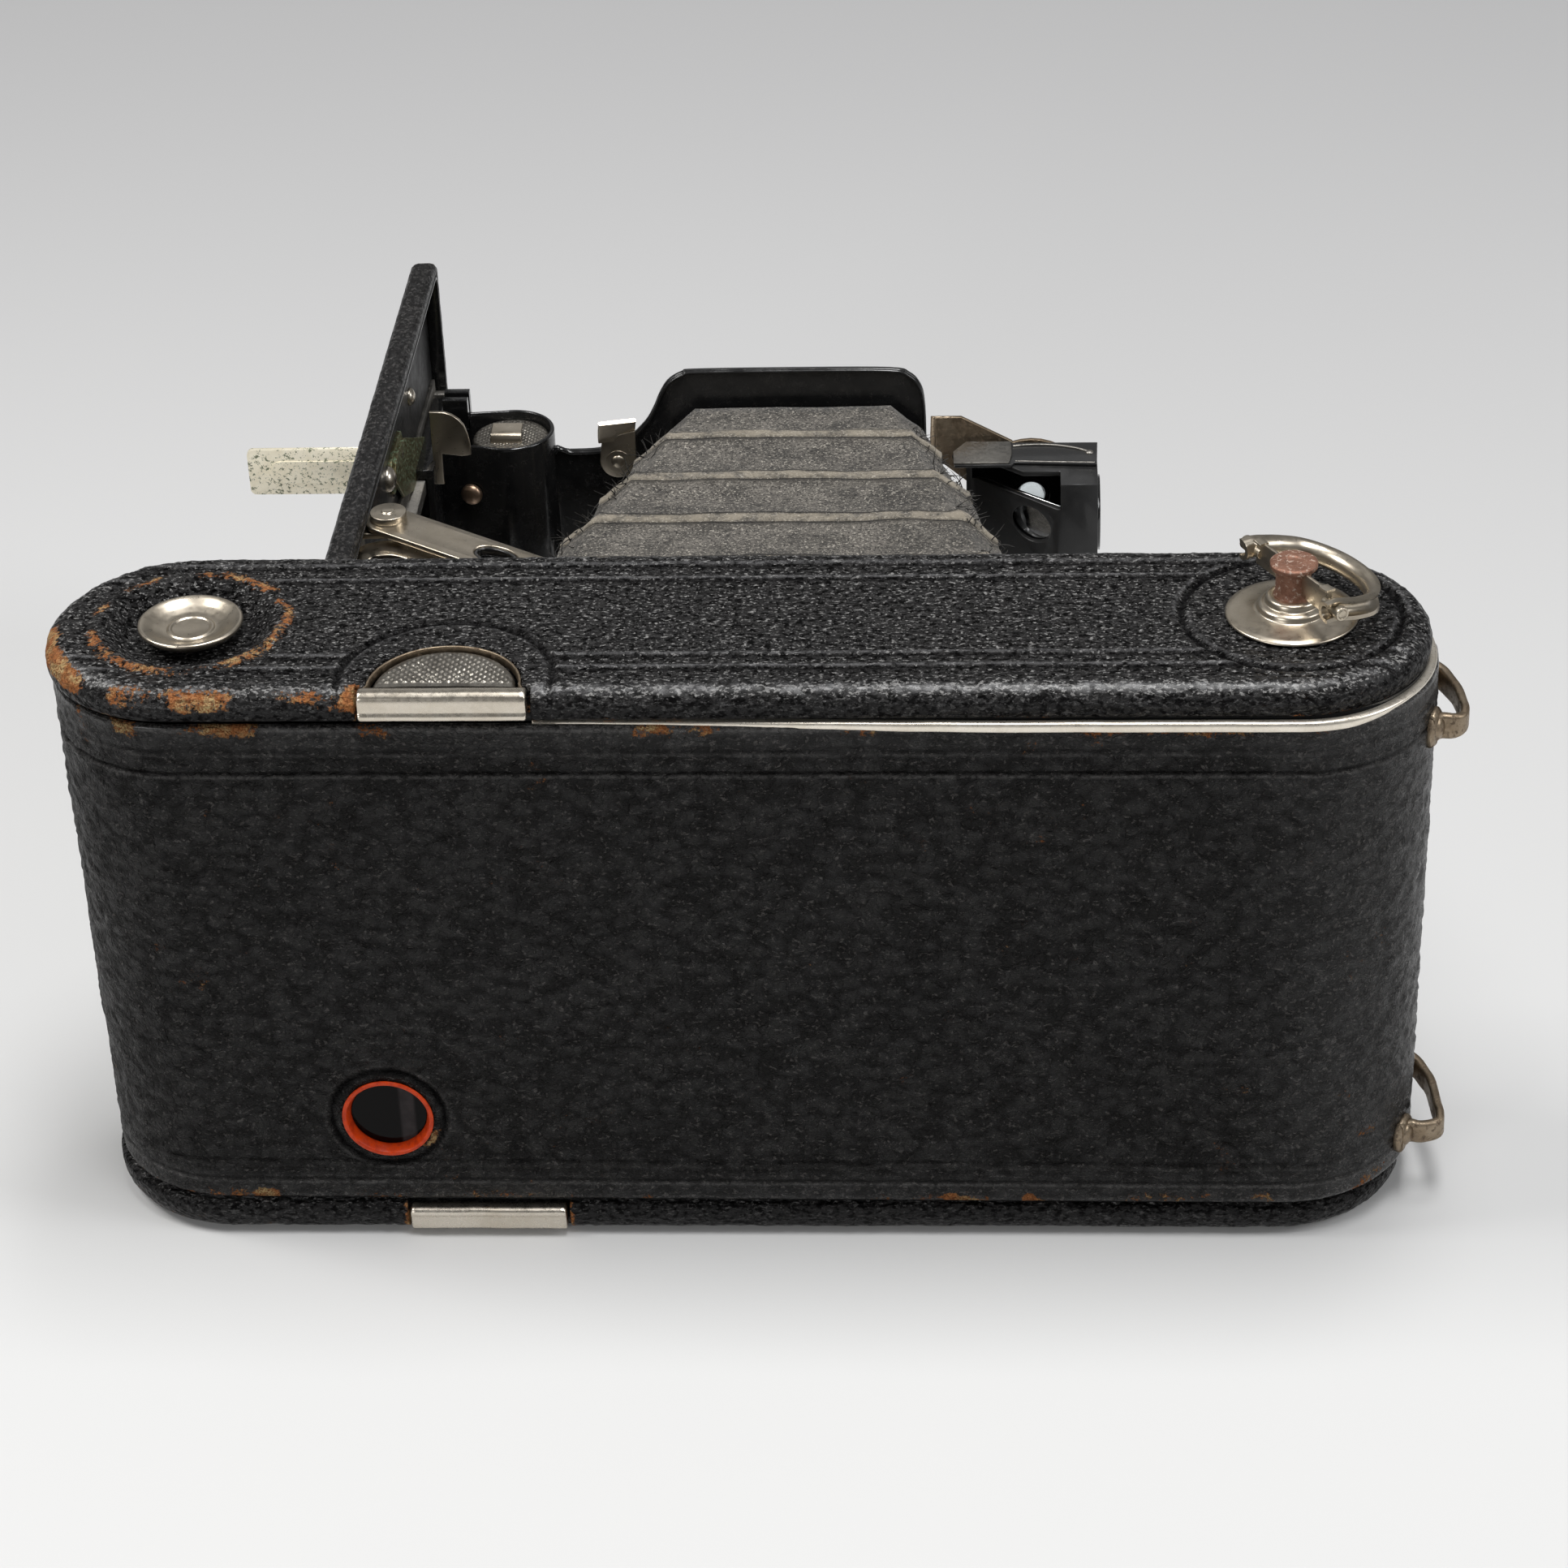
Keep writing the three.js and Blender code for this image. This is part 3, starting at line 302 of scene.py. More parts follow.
def axes_of(axis):
    """rows are the two cross directions and the axis"""
    if isinstance(axis, str):
        return NAMED_AXES[axis]
    along = np.array(axis, float)
    along /= np.linalg.norm(along)
    helper = np.array([0, 0, 1.0]) if abs(along[2]) < 0.9 else np.array([1.0, 0, 0])
    side = np.cross(helper, along)
    side /= np.linalg.norm(side)
    return np.array([side, np.cross(along, side), along])


def revolve(centre, axis, profile, seg):
    """turns a profile of (radius, distance along the axis)"""
    side, up, along = axes_of(axis)
    verts = []
    for i in range(seg):
        t = 2 * math.pi * i / seg
        for r, a in profile:
            verts.append(np.array(centre) + side * r * math.cos(t) + up * r * math.sin(t)
                         + along * a)
    return np.array(verts), grid(seg, len(profile), close_u=True)


def fillet(points, radius, steps=4, closed=False):
    """rounds the corners of a 2D polyline"""
    out = []
    points = [np.array(p, float) for p in points]
    count = len(points)
    for i, p in enumerate(points):
        if not closed and i in (0, count - 1):
            out.append(p)
            continue
        to_last, to_next = points[i - 1] - p, points[(i + 1) % count] - p
        last_len, next_len = np.linalg.norm(to_last), np.linalg.norm(to_next)
        if last_len < 1e-9 or next_len < 1e-9:
            out.append(p)
            continue
        k = min(radius, last_len * 0.45, next_len * 0.45)
        start, end = p + to_last / last_len * k, p + to_next / next_len * k
        for j in range(steps + 1):
            t = j / steps
            out.append((1 - t) ** 2 * start + 2 * t * (1 - t) * p + t * t * end)
    return out


def sweep(path, section, up, closed=False, scale=None):
    """carries a closed outline of (side, up) along a 3D path"""
    path, up = np.array(path, float), np.array(up, float)
    n = len(path)
    verts = []
    for i in range(n):
        before = path[(i - 1) % n if closed else max(i - 1, 0)]
        after = path[(i + 1) % n if closed else min(i + 1, n - 1)]
        along = after - before
        along /= np.linalg.norm(along)
        side = np.cross(along, up)
        side /= np.linalg.norm(side)
        rise = np.cross(side, along)
        k = 1 if scale is None else scale[i]
        for x, y in section:
            verts.append(path[i] + side * x * k + rise * y * k)
    m = len(section)
    return np.array(verts), grid(n, m, True, True) if closed else tube_faces(n, m)


def spline(points, steps):
    """a smooth curve through the points"""
    p = np.array(points, float)
    ends = np.vstack([2 * p[0] - p[1], p, 2 * p[-1] - p[-2]])
    out = []
    for i in range(len(p) - 1):
        a, b, c, d = ends[i:i + 4]
        for j in range(steps):
            t = j / steps
            out.append(0.5 * (2 * b + (c - a) * t + (2 * a - 5 * b + 4 * c - d) * t * t
                              + (3 * b - a - 3 * c + d) * t ** 3))
    out.append(p[-1])
    return np.array(out)


def rounded_rect(a0, a1, b0, b1, r, steps=8):
    corners = ((a1 - r, b1 - r), (a0 + r, b1 - r), (a0 + r, b0 + r), (a1 - r, b0 + r))
    out = []
    for quarter, (a, b) in enumerate(corners):
        for i in range(steps + 1):
            t = (quarter + i / steps) * math.pi / 2
            out.append((a + r * math.cos(t), b + r * math.sin(t)))
    return out


def round_angles(n):
    return [2 * math.pi * i / n for i in range(n)]


def circle(centre, r, n):
    return [(centre[0] + r * math.cos(t), centre[1] + r * math.sin(t)) for t in round_angles(n)]


def dome(centre, axis, r, h, skirt=0.5, seg=36):
    """rivet head"""
    profile = [(0, -0.3), (r, -0.3), (r, skirt * 0.4)]
    for i in range(1, 8):
        t = math.pi / 2 * i / 7
        profile.append((r * math.cos(t) if i < 7 else 0,
                        skirt * 0.4 + (h - skirt * 0.4) * math.sin(t)))
    return revolve(centre, axis, profile, seg)


def merge(shapes):
    verts, faces, start = [], [], 0
    for v, f in shapes:
        verts.append(v)
        faces += [tuple(i + start for i in q) for q in f]
        start += len(v)
    return np.vstack(verts), faces


# ---------------------------------------------------------------- objects
def add_object(name, mesh, body, slot, node):
    """links the mesh; body is what it moves with, node the CAD piece it stands in for"""
    ob = bpy.data.objects.new(name, mesh)
    bpy.context.scene.collection.objects.link(ob)
    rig.ride(ob, body)
    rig.slot(ob, slot)
    if node:
        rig.replaces(ob, node)
    return ob


def shade_smooth(mesh, sharp=None):
    mesh.polygons.foreach_set("use_smooth", [True] * len(mesh.polygons))
    if sharp:
        mesh.set_sharp_from_angle(angle=math.radians(sharp))


def make(name, shape, mat, body, slot, node=None, attrs=None, weld=None, sharp=None):
    """object from a shape in mm; sharp is the crease angle in degrees"""
    verts, faces = shape
    mesh = bpy.data.meshes.new(name)
    mesh.from_pydata((np.asarray(verts, float) * MM).tolist(), [],
                     [list(map(int, f)) for f in faces])
    for key, values in (attrs or {}).items():
        layer = mesh.attributes.new(key, "FLOAT", "POINT")
        layer.data.foreach_set("value", np.asarray(values, np.float32))
    mesh.materials.append(mat)
    bm = bmesh.new()
    bm.from_mesh(mesh)
    if weld:
        bmesh.ops.remove_doubles(bm, verts=bm.verts, dist=weld * MM)
        bmesh.ops.dissolve_degenerate(bm, edges=bm.edges, dist=1e-7)
    bmesh.ops.recalc_face_normals(bm, faces=bm.faces)
    bm.to_mesh(mesh)
    bm.free()
    shade_smooth(mesh, sharp)
    mesh.update()
    return add_object(name, mesh, body, slot, node)


def lathe(name, centre, axis, profile, mat, body, slot, node=None, seg=96, r=0.25):
    """turned part with its corners rounded to r"""
    shape = revolve(centre, axis, fillet(profile, r), seg)
    return make(name, shape, mat, body, slot, node, weld=WELD, sharp=50)


def plate(name, outline, axis, low, high, mat, body, slot, node=None, holes=(), bevel=0.15,
          bevel_steps=2, at=(0, 0, 0), turn=0.0):
    """flat sheet with softened edges, lying square to axis from low to high"""
    curve = bpy.data.curves.new(name + "_c", "CURVE")
    curve.dimensions = "2D"
    curve.fill_mode = "BOTH"
    for loop in (outline, *holes):
        line = curve.splines.new("POLY")
        line.points.add(len(loop) - 1)
        for p, (x, y) in zip(line.points, loop):
            p.co = (x, y, 0, 1)
        line.use_cyclic_u = True
    b = min(bevel, (high - low) * 0.49)
    curve.extrude = (high - low) / 2 - b
    curve.bevel_depth = b
    curve.bevel_resolution = bevel_steps
    curve.offset = -b
    holder = bpy.data.objects.new(name + "_t", curve)
    bpy.context.scene.collection.objects.link(holder)
    mesh = bpy.data.meshes.new_from_object(holder)
    bpy.data.objects.remove(holder)
    bpy.data.curves.remove(curve)
    co = np.zeros(len(mesh.vertices) * 3)
    mesh.vertices.foreach_get("co", co)
    co = co.reshape(-1, 3)
    if turn:
        c, s = math.cos(turn), math.sin(turn)
        co[:, :2] = co[:, :2] @ np.array([[c, s], [-s, c]])
    co[:, 2] += (low + high) / 2
    co = co @ axes_of(axis) + np.array(at)
    mesh.vertices.foreach_set("co", (co * MM).ravel())
    mesh.materials.append(mat)
    bm = bmesh.new()
    bm.from_mesh(mesh)
    bmesh.ops.remove_doubles(bm, verts=bm.verts, dist=2e-6)
    bmesh.ops.recalc_face_normals(bm, faces=bm.faces)
    bm.to_mesh(mesh)
    bm.free()
    mesh.polygons.foreach_set("material_index", [0] * len(mesh.polygons))
    shade_smooth(mesh, 40)
    mesh.name = name
    return add_object(name, mesh, body, slot, node)


# ---------------------------------------------------------------- shader graphs
class Wire:
    """an output of a shader node; arithmetic on it adds math nodes"""

    def __init__(self, graph, socket):
        self.graph = graph
        self.socket = socket

    def __add__(self, other):
        return self.graph.math("ADD", self, other)

    def __sub__(self, other):
        return self.graph.math("SUBTRACT", self, other)

    def __rsub__(self, other):
        return self.graph.math("SUBTRACT", other, self)

    def __mul__(self, other):
        return self.graph.math("MULTIPLY", self, other)

    def ramp(self, start, end, to=(0.0, 1.0)):
        """smooth step from to[0] at start to to[1] at end"""
        return self.graph.node("MapRange", {0: self, 1: start, 2: end, 3: to[0], 4: to[1]},
                               interpolation_type="SMOOTHSTEP")

    def paint(self, colour, amount):
        """this colour with another laid over it"""
        return self.graph.mix(amount, self, colour)


class Graph:
    """a material under construction; its coordinates are in mm"""

    def __init__(self, name):
        self.material = bpy.data.materials.new(name)
        self.material.use_nodes = True
        self.tree = self.material.node_tree
        self.tree.nodes.clear()
        output = self.tree.nodes.new("ShaderNodeOutputMaterial")
        self.shader = self.tree.nodes.new("ShaderNodeBsdfPrincipled")
        self.tree.links.new(self.shader.outputs[0], output.inputs[0])
        metres = self.node("TexCoord", {}, "Object")
        self.coords = self.node("VectorMath", {0: metres, "Scale": 1000}, operation="SCALE")

    def put(self, socket, value):
        if isinstance(value, Wire):
            self.tree.links.new(value.socket, socket)
        elif socket.type == "RGBA":
            socket.default_value = (*value, 1)
        else:
            socket.default_value = value

    def node(self, kind, inputs, output=0, **settings):
        made = self.tree.nodes.new("ShaderNode" + kind)
        for key, value in settings.items():
            setattr(made, key, value)
        for key, value in inputs.items():
            self.put(made.inputs[key], value)
        return Wire(self, made.outputs[output])

    def set(self, **inputs):
        for key, value in inputs.items():
            self.put(self.shader.inputs[key.replace("_", " ")], value)

    def place(self, scale=(1, 1, 1), shift=(0, 0, 0), at=None):
        """scaled and shifted coordinates"""
        return self.node("Mapping", {"Scale": scale, "Location": shift, 0: at or self.coords})

    def noise(self, per_mm, detail=4, rough=0.55, at=None):
        return self.node("TexNoise", {"Scale": per_mm, "Detail": detail, "Roughness": rough,
                                      "Vector": at or self.coords})

    def voronoi(self, per_mm, feature="F1", at=None, **more):
        return self.node("TexVoronoi", {"Scale": per_mm, "Vector": at or self.coords, **more},
                         "Distance", feature=feature)

    def math(self, operation, a, b=None, clamp=False):
        inputs = {0: a} if b is None else {0: a, 1: b}
        return self.node("Math", inputs, operation=operation, use_clamp=clamp)

    def mix(self, factor, a, b):
        return self.node("Mix", {0: factor, 6: a, 7: b}, 2, data_type="RGBA")

    def attr(self, name):
        return self.node("Attribute", {}, "Fac", attribute_name=name)

    def bump(self, height, strength, dist):
        """dist is the depth in metres"""
        self.set(Normal=self.node("Bump", {"Strength": strength, "Distance": dist,
                                           "Height": height}))

    def warp(self, amount, per_mm, at=None):
        """coordinates shaken by noise, by amount mm"""
        at = at or self.coords
        shake = self.node("TexNoise", {"Scale": per_mm, "Detail": 2, "Vector": at}, 1)
        shake = self.node("VectorMath", {0: shake, 1: (0.5, 0.5, 0.5)}, operation="SUBTRACT")
        shake = self.node("VectorMath", {0: shake, "Scale": amount}, operation="SCALE")
        return self.node("VectorMath", {0: at, 1: shake}, operation="ADD")


# ---------------------------------------------------------------- leathers
# Each grain gives its height, its bump depth in metres, its marks of painted light and
# shade as (amount, colour), the noise of its painted glints on the grain tips and their colour.
def fine_grain(g):
    """short streaks along X"""
    at = g.warp(amount=0.5, per_mm=0.9)
    streaks = g.place((0.45, 1.0, 1.0), at=at)
    height = (g.noise(0.95, detail=3, rough=0.6, at=streaks) * 1.0
              + (g.voronoi(1.05, at=streaks) * 0.75 + g.noise(3.2, detail=2, rough=0.5) * 0.22))
    # painted shade in the grain's pits
    shaded_pits = g.noise(1.0, detail=3, rough=0.62, at=g.place((0.7, 1.0, 1.0), (1, 2, 3), at))
    marks = [(shaded_pits.ramp(0.40, 0.54, to=(0.92, 0.0)), (0.0012, 0.0011, 0.0011))]
    # noise that places the painted glints on the grain tips
    glint_noise = g.noise(1.9, detail=3, rough=0.62, at=g.place((0.62, 1.0, 1.0), (5, 9, 2), at))
    return height, 0.0011, marks, glint_noise, (0.26, 0.255, 0.25)


def pebble_grain(g):
    """coarse grain with fine creases between the pebbles"""
    at = g.place((0.72, 1.0, 1.0), at=g.warp(amount=1.5, per_mm=0.35))
    pebbles = g.voronoi(0.40, "SMOOTH_F1", at=at, Smoothness=0.35)
    edges = g.voronoi(0.95, "DISTANCE_TO_EDGE", at=g.warp(amount=0.9, per_mm=0.8, at=at))
    height = (pebbles * -1.1
              + (edges.ramp(0.0, 0.16) * 0.30 + g.noise(2.4, detail=4, rough=0.62) * 0.55))
    # painted light on the pebble tops, painted shade at their borders and in the creases between them
    marks = [(pebbles.ramp(0.10, 0.52, to=(0.80, 0.0)), (0.0185, 0.0178, 0.0165)),
             (pebbles.ramp(0.38, 0.68, to=(0.0, 0.80)), (0.0085, 0.0080, 0.0076)),
             (edges.ramp(0.0, 0.06, to=(0.45, 0.0)), (0.0030, 0.0028, 0.0027))]
    # the returned noise places the painted glints on the grain tips
    return height, 0.0016, marks, g.noise(1.7, detail=4, rough=0.66, at=at), (0.085, 0.079, 0.075)


def plain_grain(g):
    """plain stiff grain"""
    at = g.warp(amount=0.8, per_mm=0.6)
    cells = g.voronoi(0.85, "SMOOTH_F1", at=g.place((1, 0.7, 1), at=at), Smoothness=0.3)
    height = cells * -1.0 + g.noise(2.6, detail=4, rough=0.6) * 0.5
    # painted shade: darker in the hollows between the grain cells
    marks = [(cells.ramp(0.30, 0.62, to=(0.0, 0.55)), (0.0030, 0.0028, 0.0028))]
    # noise that places the painted glints on the grain tips
    glint_noise = g.noise(1.5, detail=3, rough=0.62, at=g.place((1.0, 0.6, 1.0), (5, 9, 2), at))
    return height, 0.0010, marks, glint_noise, (0.060, 0.057, 0.055)


def leather(name, grain, worn=True):
    """black leather; attributes: mark (+1 painted highlight on a raised line edge, -1 painted shade in its groove
    floor), gloss (glossier coat and more painted glints) and wear
    """
    g = Graph(name)
    height, depth, marks, glint_noise, glint_colour = grain(g)
    g.bump(height, strength=1.0, dist=depth)
    tone = g.noise(0.035, detail=3, rough=0.6)
    fleck = g.noise(1.9, detail=3, rough=0.7).ramp(0.60, 0.78)
    dust = g.noise(0.09, detail=4, rough=0.7).ramp(0.42, 0.72)
    base = g.mix(tone, (0.0055, 0.0050, 0.0052), (0.0115, 0.0105, 0.0105))
    base = base.paint((0.045, 0.041, 0.038), fleck * 0.35)
    base = base.paint((0.026, 0.0235, 0.022), dust * 0.22)
    # the grain's marks: painted shade in its pits and hollows, and on pebble grain painted light on the pebble tops
    for amount, colour in marks:
        base = base.paint(colour, amount)
    # pressed lines: mark paints shade on their groove floors and a highlight on their crests
    line = g.attr("painted_light_shade")
    floor = g.math("MAXIMUM", line * -1.0, 0.0, clamp=True)
    crest_highlight = (g.math("MAXIMUM", line, 0.0, clamp=True)
             * g.noise(0.8, detail=3, rough=0.6).ramp(0.30, 0.60))
    pebbled = grain is pebble_grain
    hollow, dulling = (marks[1][0], 0.55) if pebbled else (marks[0][0], 0.95)
    shine = (1.0 - hollow * dulling) * (1.0 - floor * 0.75)
    # painted glints: lighter colour on the grain tips, more of them where gloss is high
    painted_glint = (glint_noise + g.attr("gloss_and_painted_glint") * 0.085).ramp(0.575, 0.64) * (1.0 - floor)
    base = base.paint(glint_colour, painted_glint * 0.85)
    # painted shade on the groove floors, painted highlight on the crests
    base = base.paint((0.004, 0.0037, 0.004), floor)
    crest_highlight_colour = (0.17, 0.168, 0.172) if grain is fine_grain else (0.11, 0.106, 0.103)
    base = base.paint(crest_highlight_colour, crest_highlight * 0.8)
    rough = g.noise(0.5, detail=3, rough=0.6).ramp(0.3, 0.75, to=(0.34, 0.52)) - painted_glint * 0.16
    if worn:
        # the surface is rubbed through to tan and sand where noise and wear add up
        rub = (g.noise(0.38, detail=5, rough=0.70, at=g.place(shift=(37, 11, 5))) * 0.95
               + g.noise(1.5, detail=4, rough=0.70) * 1.00) + g.attr("wear") * 0.85
        bare = rub.ramp(1.36, 1.42)
        halo = rub.ramp(1.24, 1.38)
        patches = g.noise(0.30, detail=3, rough=0.6, at=g.place(shift=(3, 71, 9)))
        hide = g.mix(patches.ramp(0.42, 0.62), (0.33, 0.135, 0.05), (0.42, 0.31, 0.15))
        hide = hide.paint((0.16, 0.055, 0.02),
                          g.noise(3.0, detail=2, rough=0.5).ramp(0.35, 0.7))
        base = base.paint((0.030, 0.017, 0.011), halo * 0.55)
        base = base.paint(hide, bare)
        gloss_and_painted_glint = g.attr("gloss_and_painted_glint")
        rough = g.math("ADD", rough - gloss_and_painted_glint * 0.16, bare * 0.35, clamp=True)
        g.set(Specular_IOR_Level=shine * ((0.22 if pebbled else 0.30) - bare * 0.16),
              Coat_Weight=(gloss_and_painted_glint * 0.55) * (1.0 - bare), Coat_Roughness=0.28)
    else:
        g.set(Specular_IOR_Level=shine * 0.35)
    g.set(Base_Color=base, Roughness=rough)
    return g.material


# ---------------------------------------------------------------- other materials
def enamel(name, dusty=0.35, rough=(0.10, 0.30)):
    g = Graph(name)
    cloud = g.noise(0.25, detail=4, rough=0.65)
    dust = g.noise(0.7, detail=5, rough=0.75).ramp(0.52, 0.80)
    speck = g.voronoi(0.8).ramp(0.0, 0.10, to=(1.0, 0.0))
    base = g.mix(cloud, (0.006, 0.006, 0.0065), (0.012, 0.012, 0.012))
    base = base.paint((0.055, 0.050, 0.044), dust * dusty)
    base = base.paint((0.20, 0.18, 0.15), speck * 0.35)
    g.set(Base_Color=base, Coat_Weight=0.35, Coat_Roughness=0.12,
          Roughness=g.math("ADD", cloud.ramp(0.3, 0.7, to=rough), dust * 0.30, clamp=True))
    g.bump(g.noise(0.9, detail=3, rough=0.6) + g.noise(6.0, detail=2, rough=0.5) * 0.12,
           strength=0.25, dist=0.00012)
    return g.material


def metal(name, light, dark, rough=(0.22, 0.42), spot=None, spots=(0.62, 0.74), scale=1.0,
          scratch=1.0, grime=0.5, bump=0.3, metallic=1.0):
    """two-tone metal; spot is the colour of the stains and spots the noise range they fill"""
    g = Graph(name)
    cloud = g.noise(0.16 * scale, detail=5, rough=0.65)
    fine = g.noise(1.4 * scale, detail=5, rough=0.7)
    scratches = g.noise(2.2, detail=2, rough=0.5, at=g.place((0.12, 2.6, 2.6)))
    base = g.mix(cloud.ramp(0.35, 0.68), light, dark)
    base = base.paint(tuple(c * 0.42 for c in dark), fine.ramp(0.50, 0.74) * grime)
    shine = g.math("ADD", fine.ramp(0.3, 0.75, to=rough), (scratches - 0.5) * (0.22 * scratch),
                   clamp=True)
    if spot:
        stain = g.noise(0.75 * scale, detail=6, rough=0.72, at=g.place(shift=(13, 5, 29)))
        stain = (stain + g.noise(4.5, detail=2, rough=0.5) * 0.12).ramp(*spots)
        base = base.paint(spot, stain)
        g.set(Metallic=metallic - stain * 0.8)
        shine = g.math("ADD", shine, stain * 0.3, clamp=True)
    else:
        g.set(Metallic=metallic)
    g.set(Base_Color=base, Roughness=shine)
    g.bump(fine * 0.6 + (scratches * (0.25 * scratch) + g.noise(7.0, detail=2, rough=0.5) * 0.15),
           strength=bump, dist=0.00010)
    return g.material


def bellows_skin(name):
    """grey cloth; attributes: ridge (worn folds), crease (painted shade in the fold valleys, and a darker tone on the
    frayed fibres) and inside
    """
    g = Graph(name)
    weave = g.noise(3.4, detail=3, rough=0.65)
    blot = g.noise(0.12, detail=5, rough=0.7)
    fine = g.noise(1.1, detail=4, rough=0.7)
    streak = g.noise(0.6, detail=3, rough=0.6, at=g.place((0.22, 1.2, 1.2)))
    pale = g.noise(1.7, detail=3, rough=0.7)
    dark = g.noise(2.1, detail=3, rough=0.65, at=g.place(shift=(7, 3, 1)))
    base = g.mix(blot.ramp(0.36, 0.64), (0.038, 0.035, 0.031), (0.125, 0.114, 0.100))
    base = base.paint((0.20, 0.183, 0.157), fine.ramp(0.50, 0.64) * 0.65)
    base = base.paint((0.40, 0.37, 0.32), pale.ramp(0.56, 0.63) * 0.90)
    base = base.paint((0.014, 0.0125, 0.011), dark.ramp(0.51, 0.59) * 0.90)
    base = base.paint((0.020, 0.018, 0.017), streak.ramp(0.56, 0.72) * 0.45)
    ridge = g.attr("ridge")
    worn = g.math("MULTIPLY", ridge, g.noise(0.25, detail=4, rough=0.7).ramp(0.30, 0.62),
                  clamp=True)
    base = base.paint((0.36, 0.315, 0.245), worn * 0.80)
    rim = ridge.ramp(0.04, 0.16) * ridge.ramp(0.24, 0.46, to=(1.0, 0.0))
    base = base.paint((0.013, 0.012, 0.011), rim * 0.85)
    # painted shade in the fold valleys
    base = base.paint((0.010, 0.009, 0.008),
                      g.math("MULTIPLY", g.attr("crease"), 0.85, clamp=True))
    base = base.paint((0.010, 0.010, 0.010), g.attr("inside"))
    g.set(Base_Color=base, Roughness=0.86, Specular_IOR_Level=0.25, Sheen_Weight=0.12,
          Sheen_Roughness=0.5)
    g.bump(weave * 0.6 + (fine + streak * 0.35), strength=0.8, dist=0.00028)
    return g.material


def window_orange():
    g = Graph("window_orange")
    cloud = g.noise(0.9, detail=4, rough=0.6)
    base = g.mix(cloud.ramp(0.35, 0.7), (0.56, 0.050, 0.006), (0.36, 0.026, 0.004))
    stains = g.noise(2.6, detail=3, rough=0.7).ramp(0.62, 0.75)
    base = base.paint((0.10, 0.03, 0.015), stains * 0.5)
    g.set(Base_Color=base, Roughness=cloud.ramp(0.3, 0.7, to=(0.22, 0.40)),
          Specular_IOR_Level=0.22)
    g.bump(cloud, strength=0.25, dist=0.0001)
    return g.material


def window_dark(reflection_x):
    """near black, with a painted reflection: a paler upright band at reflection_x"""
    g = Graph("window_dark")
    x = g.node("SeparateXYZ", {0: g.coords}, 0)
    # painted reflection: a paler upright band on the dark celluloid
    reflection_band = g.math("ABSOLUTE", x - reflection_x).ramp(0.9, 1.7, to=(1.0, 0.0))
    cloud = g.noise(0.5, detail=4, rough=0.6)
    base = g.mix(reflection_band * cloud.ramp(0.2, 0.8, to=(0.5, 1.0)),
                 (0.0015, 0.001, 0.001), (0.034, 0.029, 0.030))
    g.set(Base_Color=base, Roughness=cloud.ramp(0.3, 0.7, to=(0.05, 0.12)),
          Specular_IOR_Level=0.10)
    g.bump(cloud, strength=0.08, dist=0.0001)
    return g.material


def lens_glass():
    g = Graph("lens_glass")
    cloud = g.noise(0.6, detail=4, rough=0.7)
    g.set(Base_Color=g.mix(cloud, (0.80, 0.86, 0.88), (0.72, 0.78, 0.80)),
          Roughness=cloud.ramp(0.3, 0.8, to=(0.01, 0.06)), Transmission_Weight=1.0, IOR=1.48)
    g.bump(cloud, strength=0.02, dist=0.0001)
    return g.material


def silvered_mirror():
    g = Graph("silvered_mirror")
    cloud = g.noise(0.5, detail=5, rough=0.7)
    g.set(Base_Color=g.mix(cloud.ramp(0.58, 0.72), (0.82, 0.83, 0.84), (0.35, 0.31, 0.24)),
          Metallic=1.0, Roughness=cloud.ramp(0.3, 0.8, to=(0.03, 0.22)))
    g.bump(cloud, strength=0.03, dist=0.0001)
    return g.material


def spool_wood():
    g = Graph("spool_wood_stain")
    fibre = g.noise(0.7, detail=5, rough=0.65, at=g.place((1.2, 1.2, 0.10)))
    g.set(Base_Color=g.mix(fibre.ramp(0.35, 0.65), (0.16, 0.085, 0.040), (0.075, 0.038, 0.018)),
          Roughness=fibre.ramp(0.3, 0.7, to=(0.45, 0.65)))
    g.bump(fibre, strength=0.4, dist=0.0002)
    return g.material


LEATHER_TOP = leather("leather_fine", fine_grain)
LEATHER_BACK = leather("leather_pebble", pebble_grain)
LEATHER_SIDE = leather("leather_plain", plain_grain, worn=False)
LEATHER_BED = leather("leather_bed", plain_grain)
ENAMEL = enamel("black_enamel")
ENAMEL_DULL = enamel("black_enamel_dull", dusty=0.6, rough=(0.35, 0.6))
NICKEL = metal("aged_nickel", (0.60, 0.535, 0.44), (0.50, 0.44, 0.35), rough=(0.27, 0.38),
               grime=0.14, bump=0.035, scratch=0.25, scale=0.55)
NICKEL_BRIGHT = metal("bright_nickel", (0.70, 0.645, 0.56), (0.60, 0.54, 0.45),
                      rough=(0.24, 0.34), grime=0.12, bump=0.03, scratch=0.1, scale=0.55)
NICKEL_TRIM = metal("trim_nickel", (0.88, 0.82, 0.72), (0.78, 0.71, 0.60), rough=(0.26, 0.42),
                    grime=0.15, bump=0.18, scratch=0.4, metallic=0.85)
NICKEL_PALE = metal("pale_nickel", (0.92, 0.86, 0.70), (0.84, 0.77, 0.60), rough=(0.36, 0.5),
                    spot=(0.16, 0.18, 0.11), spots=(0.60, 0.66), scale=1.5, grime=0.15,
                    bump=0.2, scratch=0.3, metallic=0.45)
NICKEL_BROWN = metal("brown_nickel", (0.34, 0.275, 0.20), (0.25, 0.19, 0.13),
                     rough=(0.34, 0.56), spot=(0.11, 0.075, 0.045), spots=(0.58, 0.70), bump=0.6)
STEEL = metal("dull_steel", (0.30, 0.285, 0.26), (0.20, 0.19, 0.175), rough=(0.35, 0.6),
              spot=(0.05, 0.045, 0.04), spots=(0.60, 0.75))
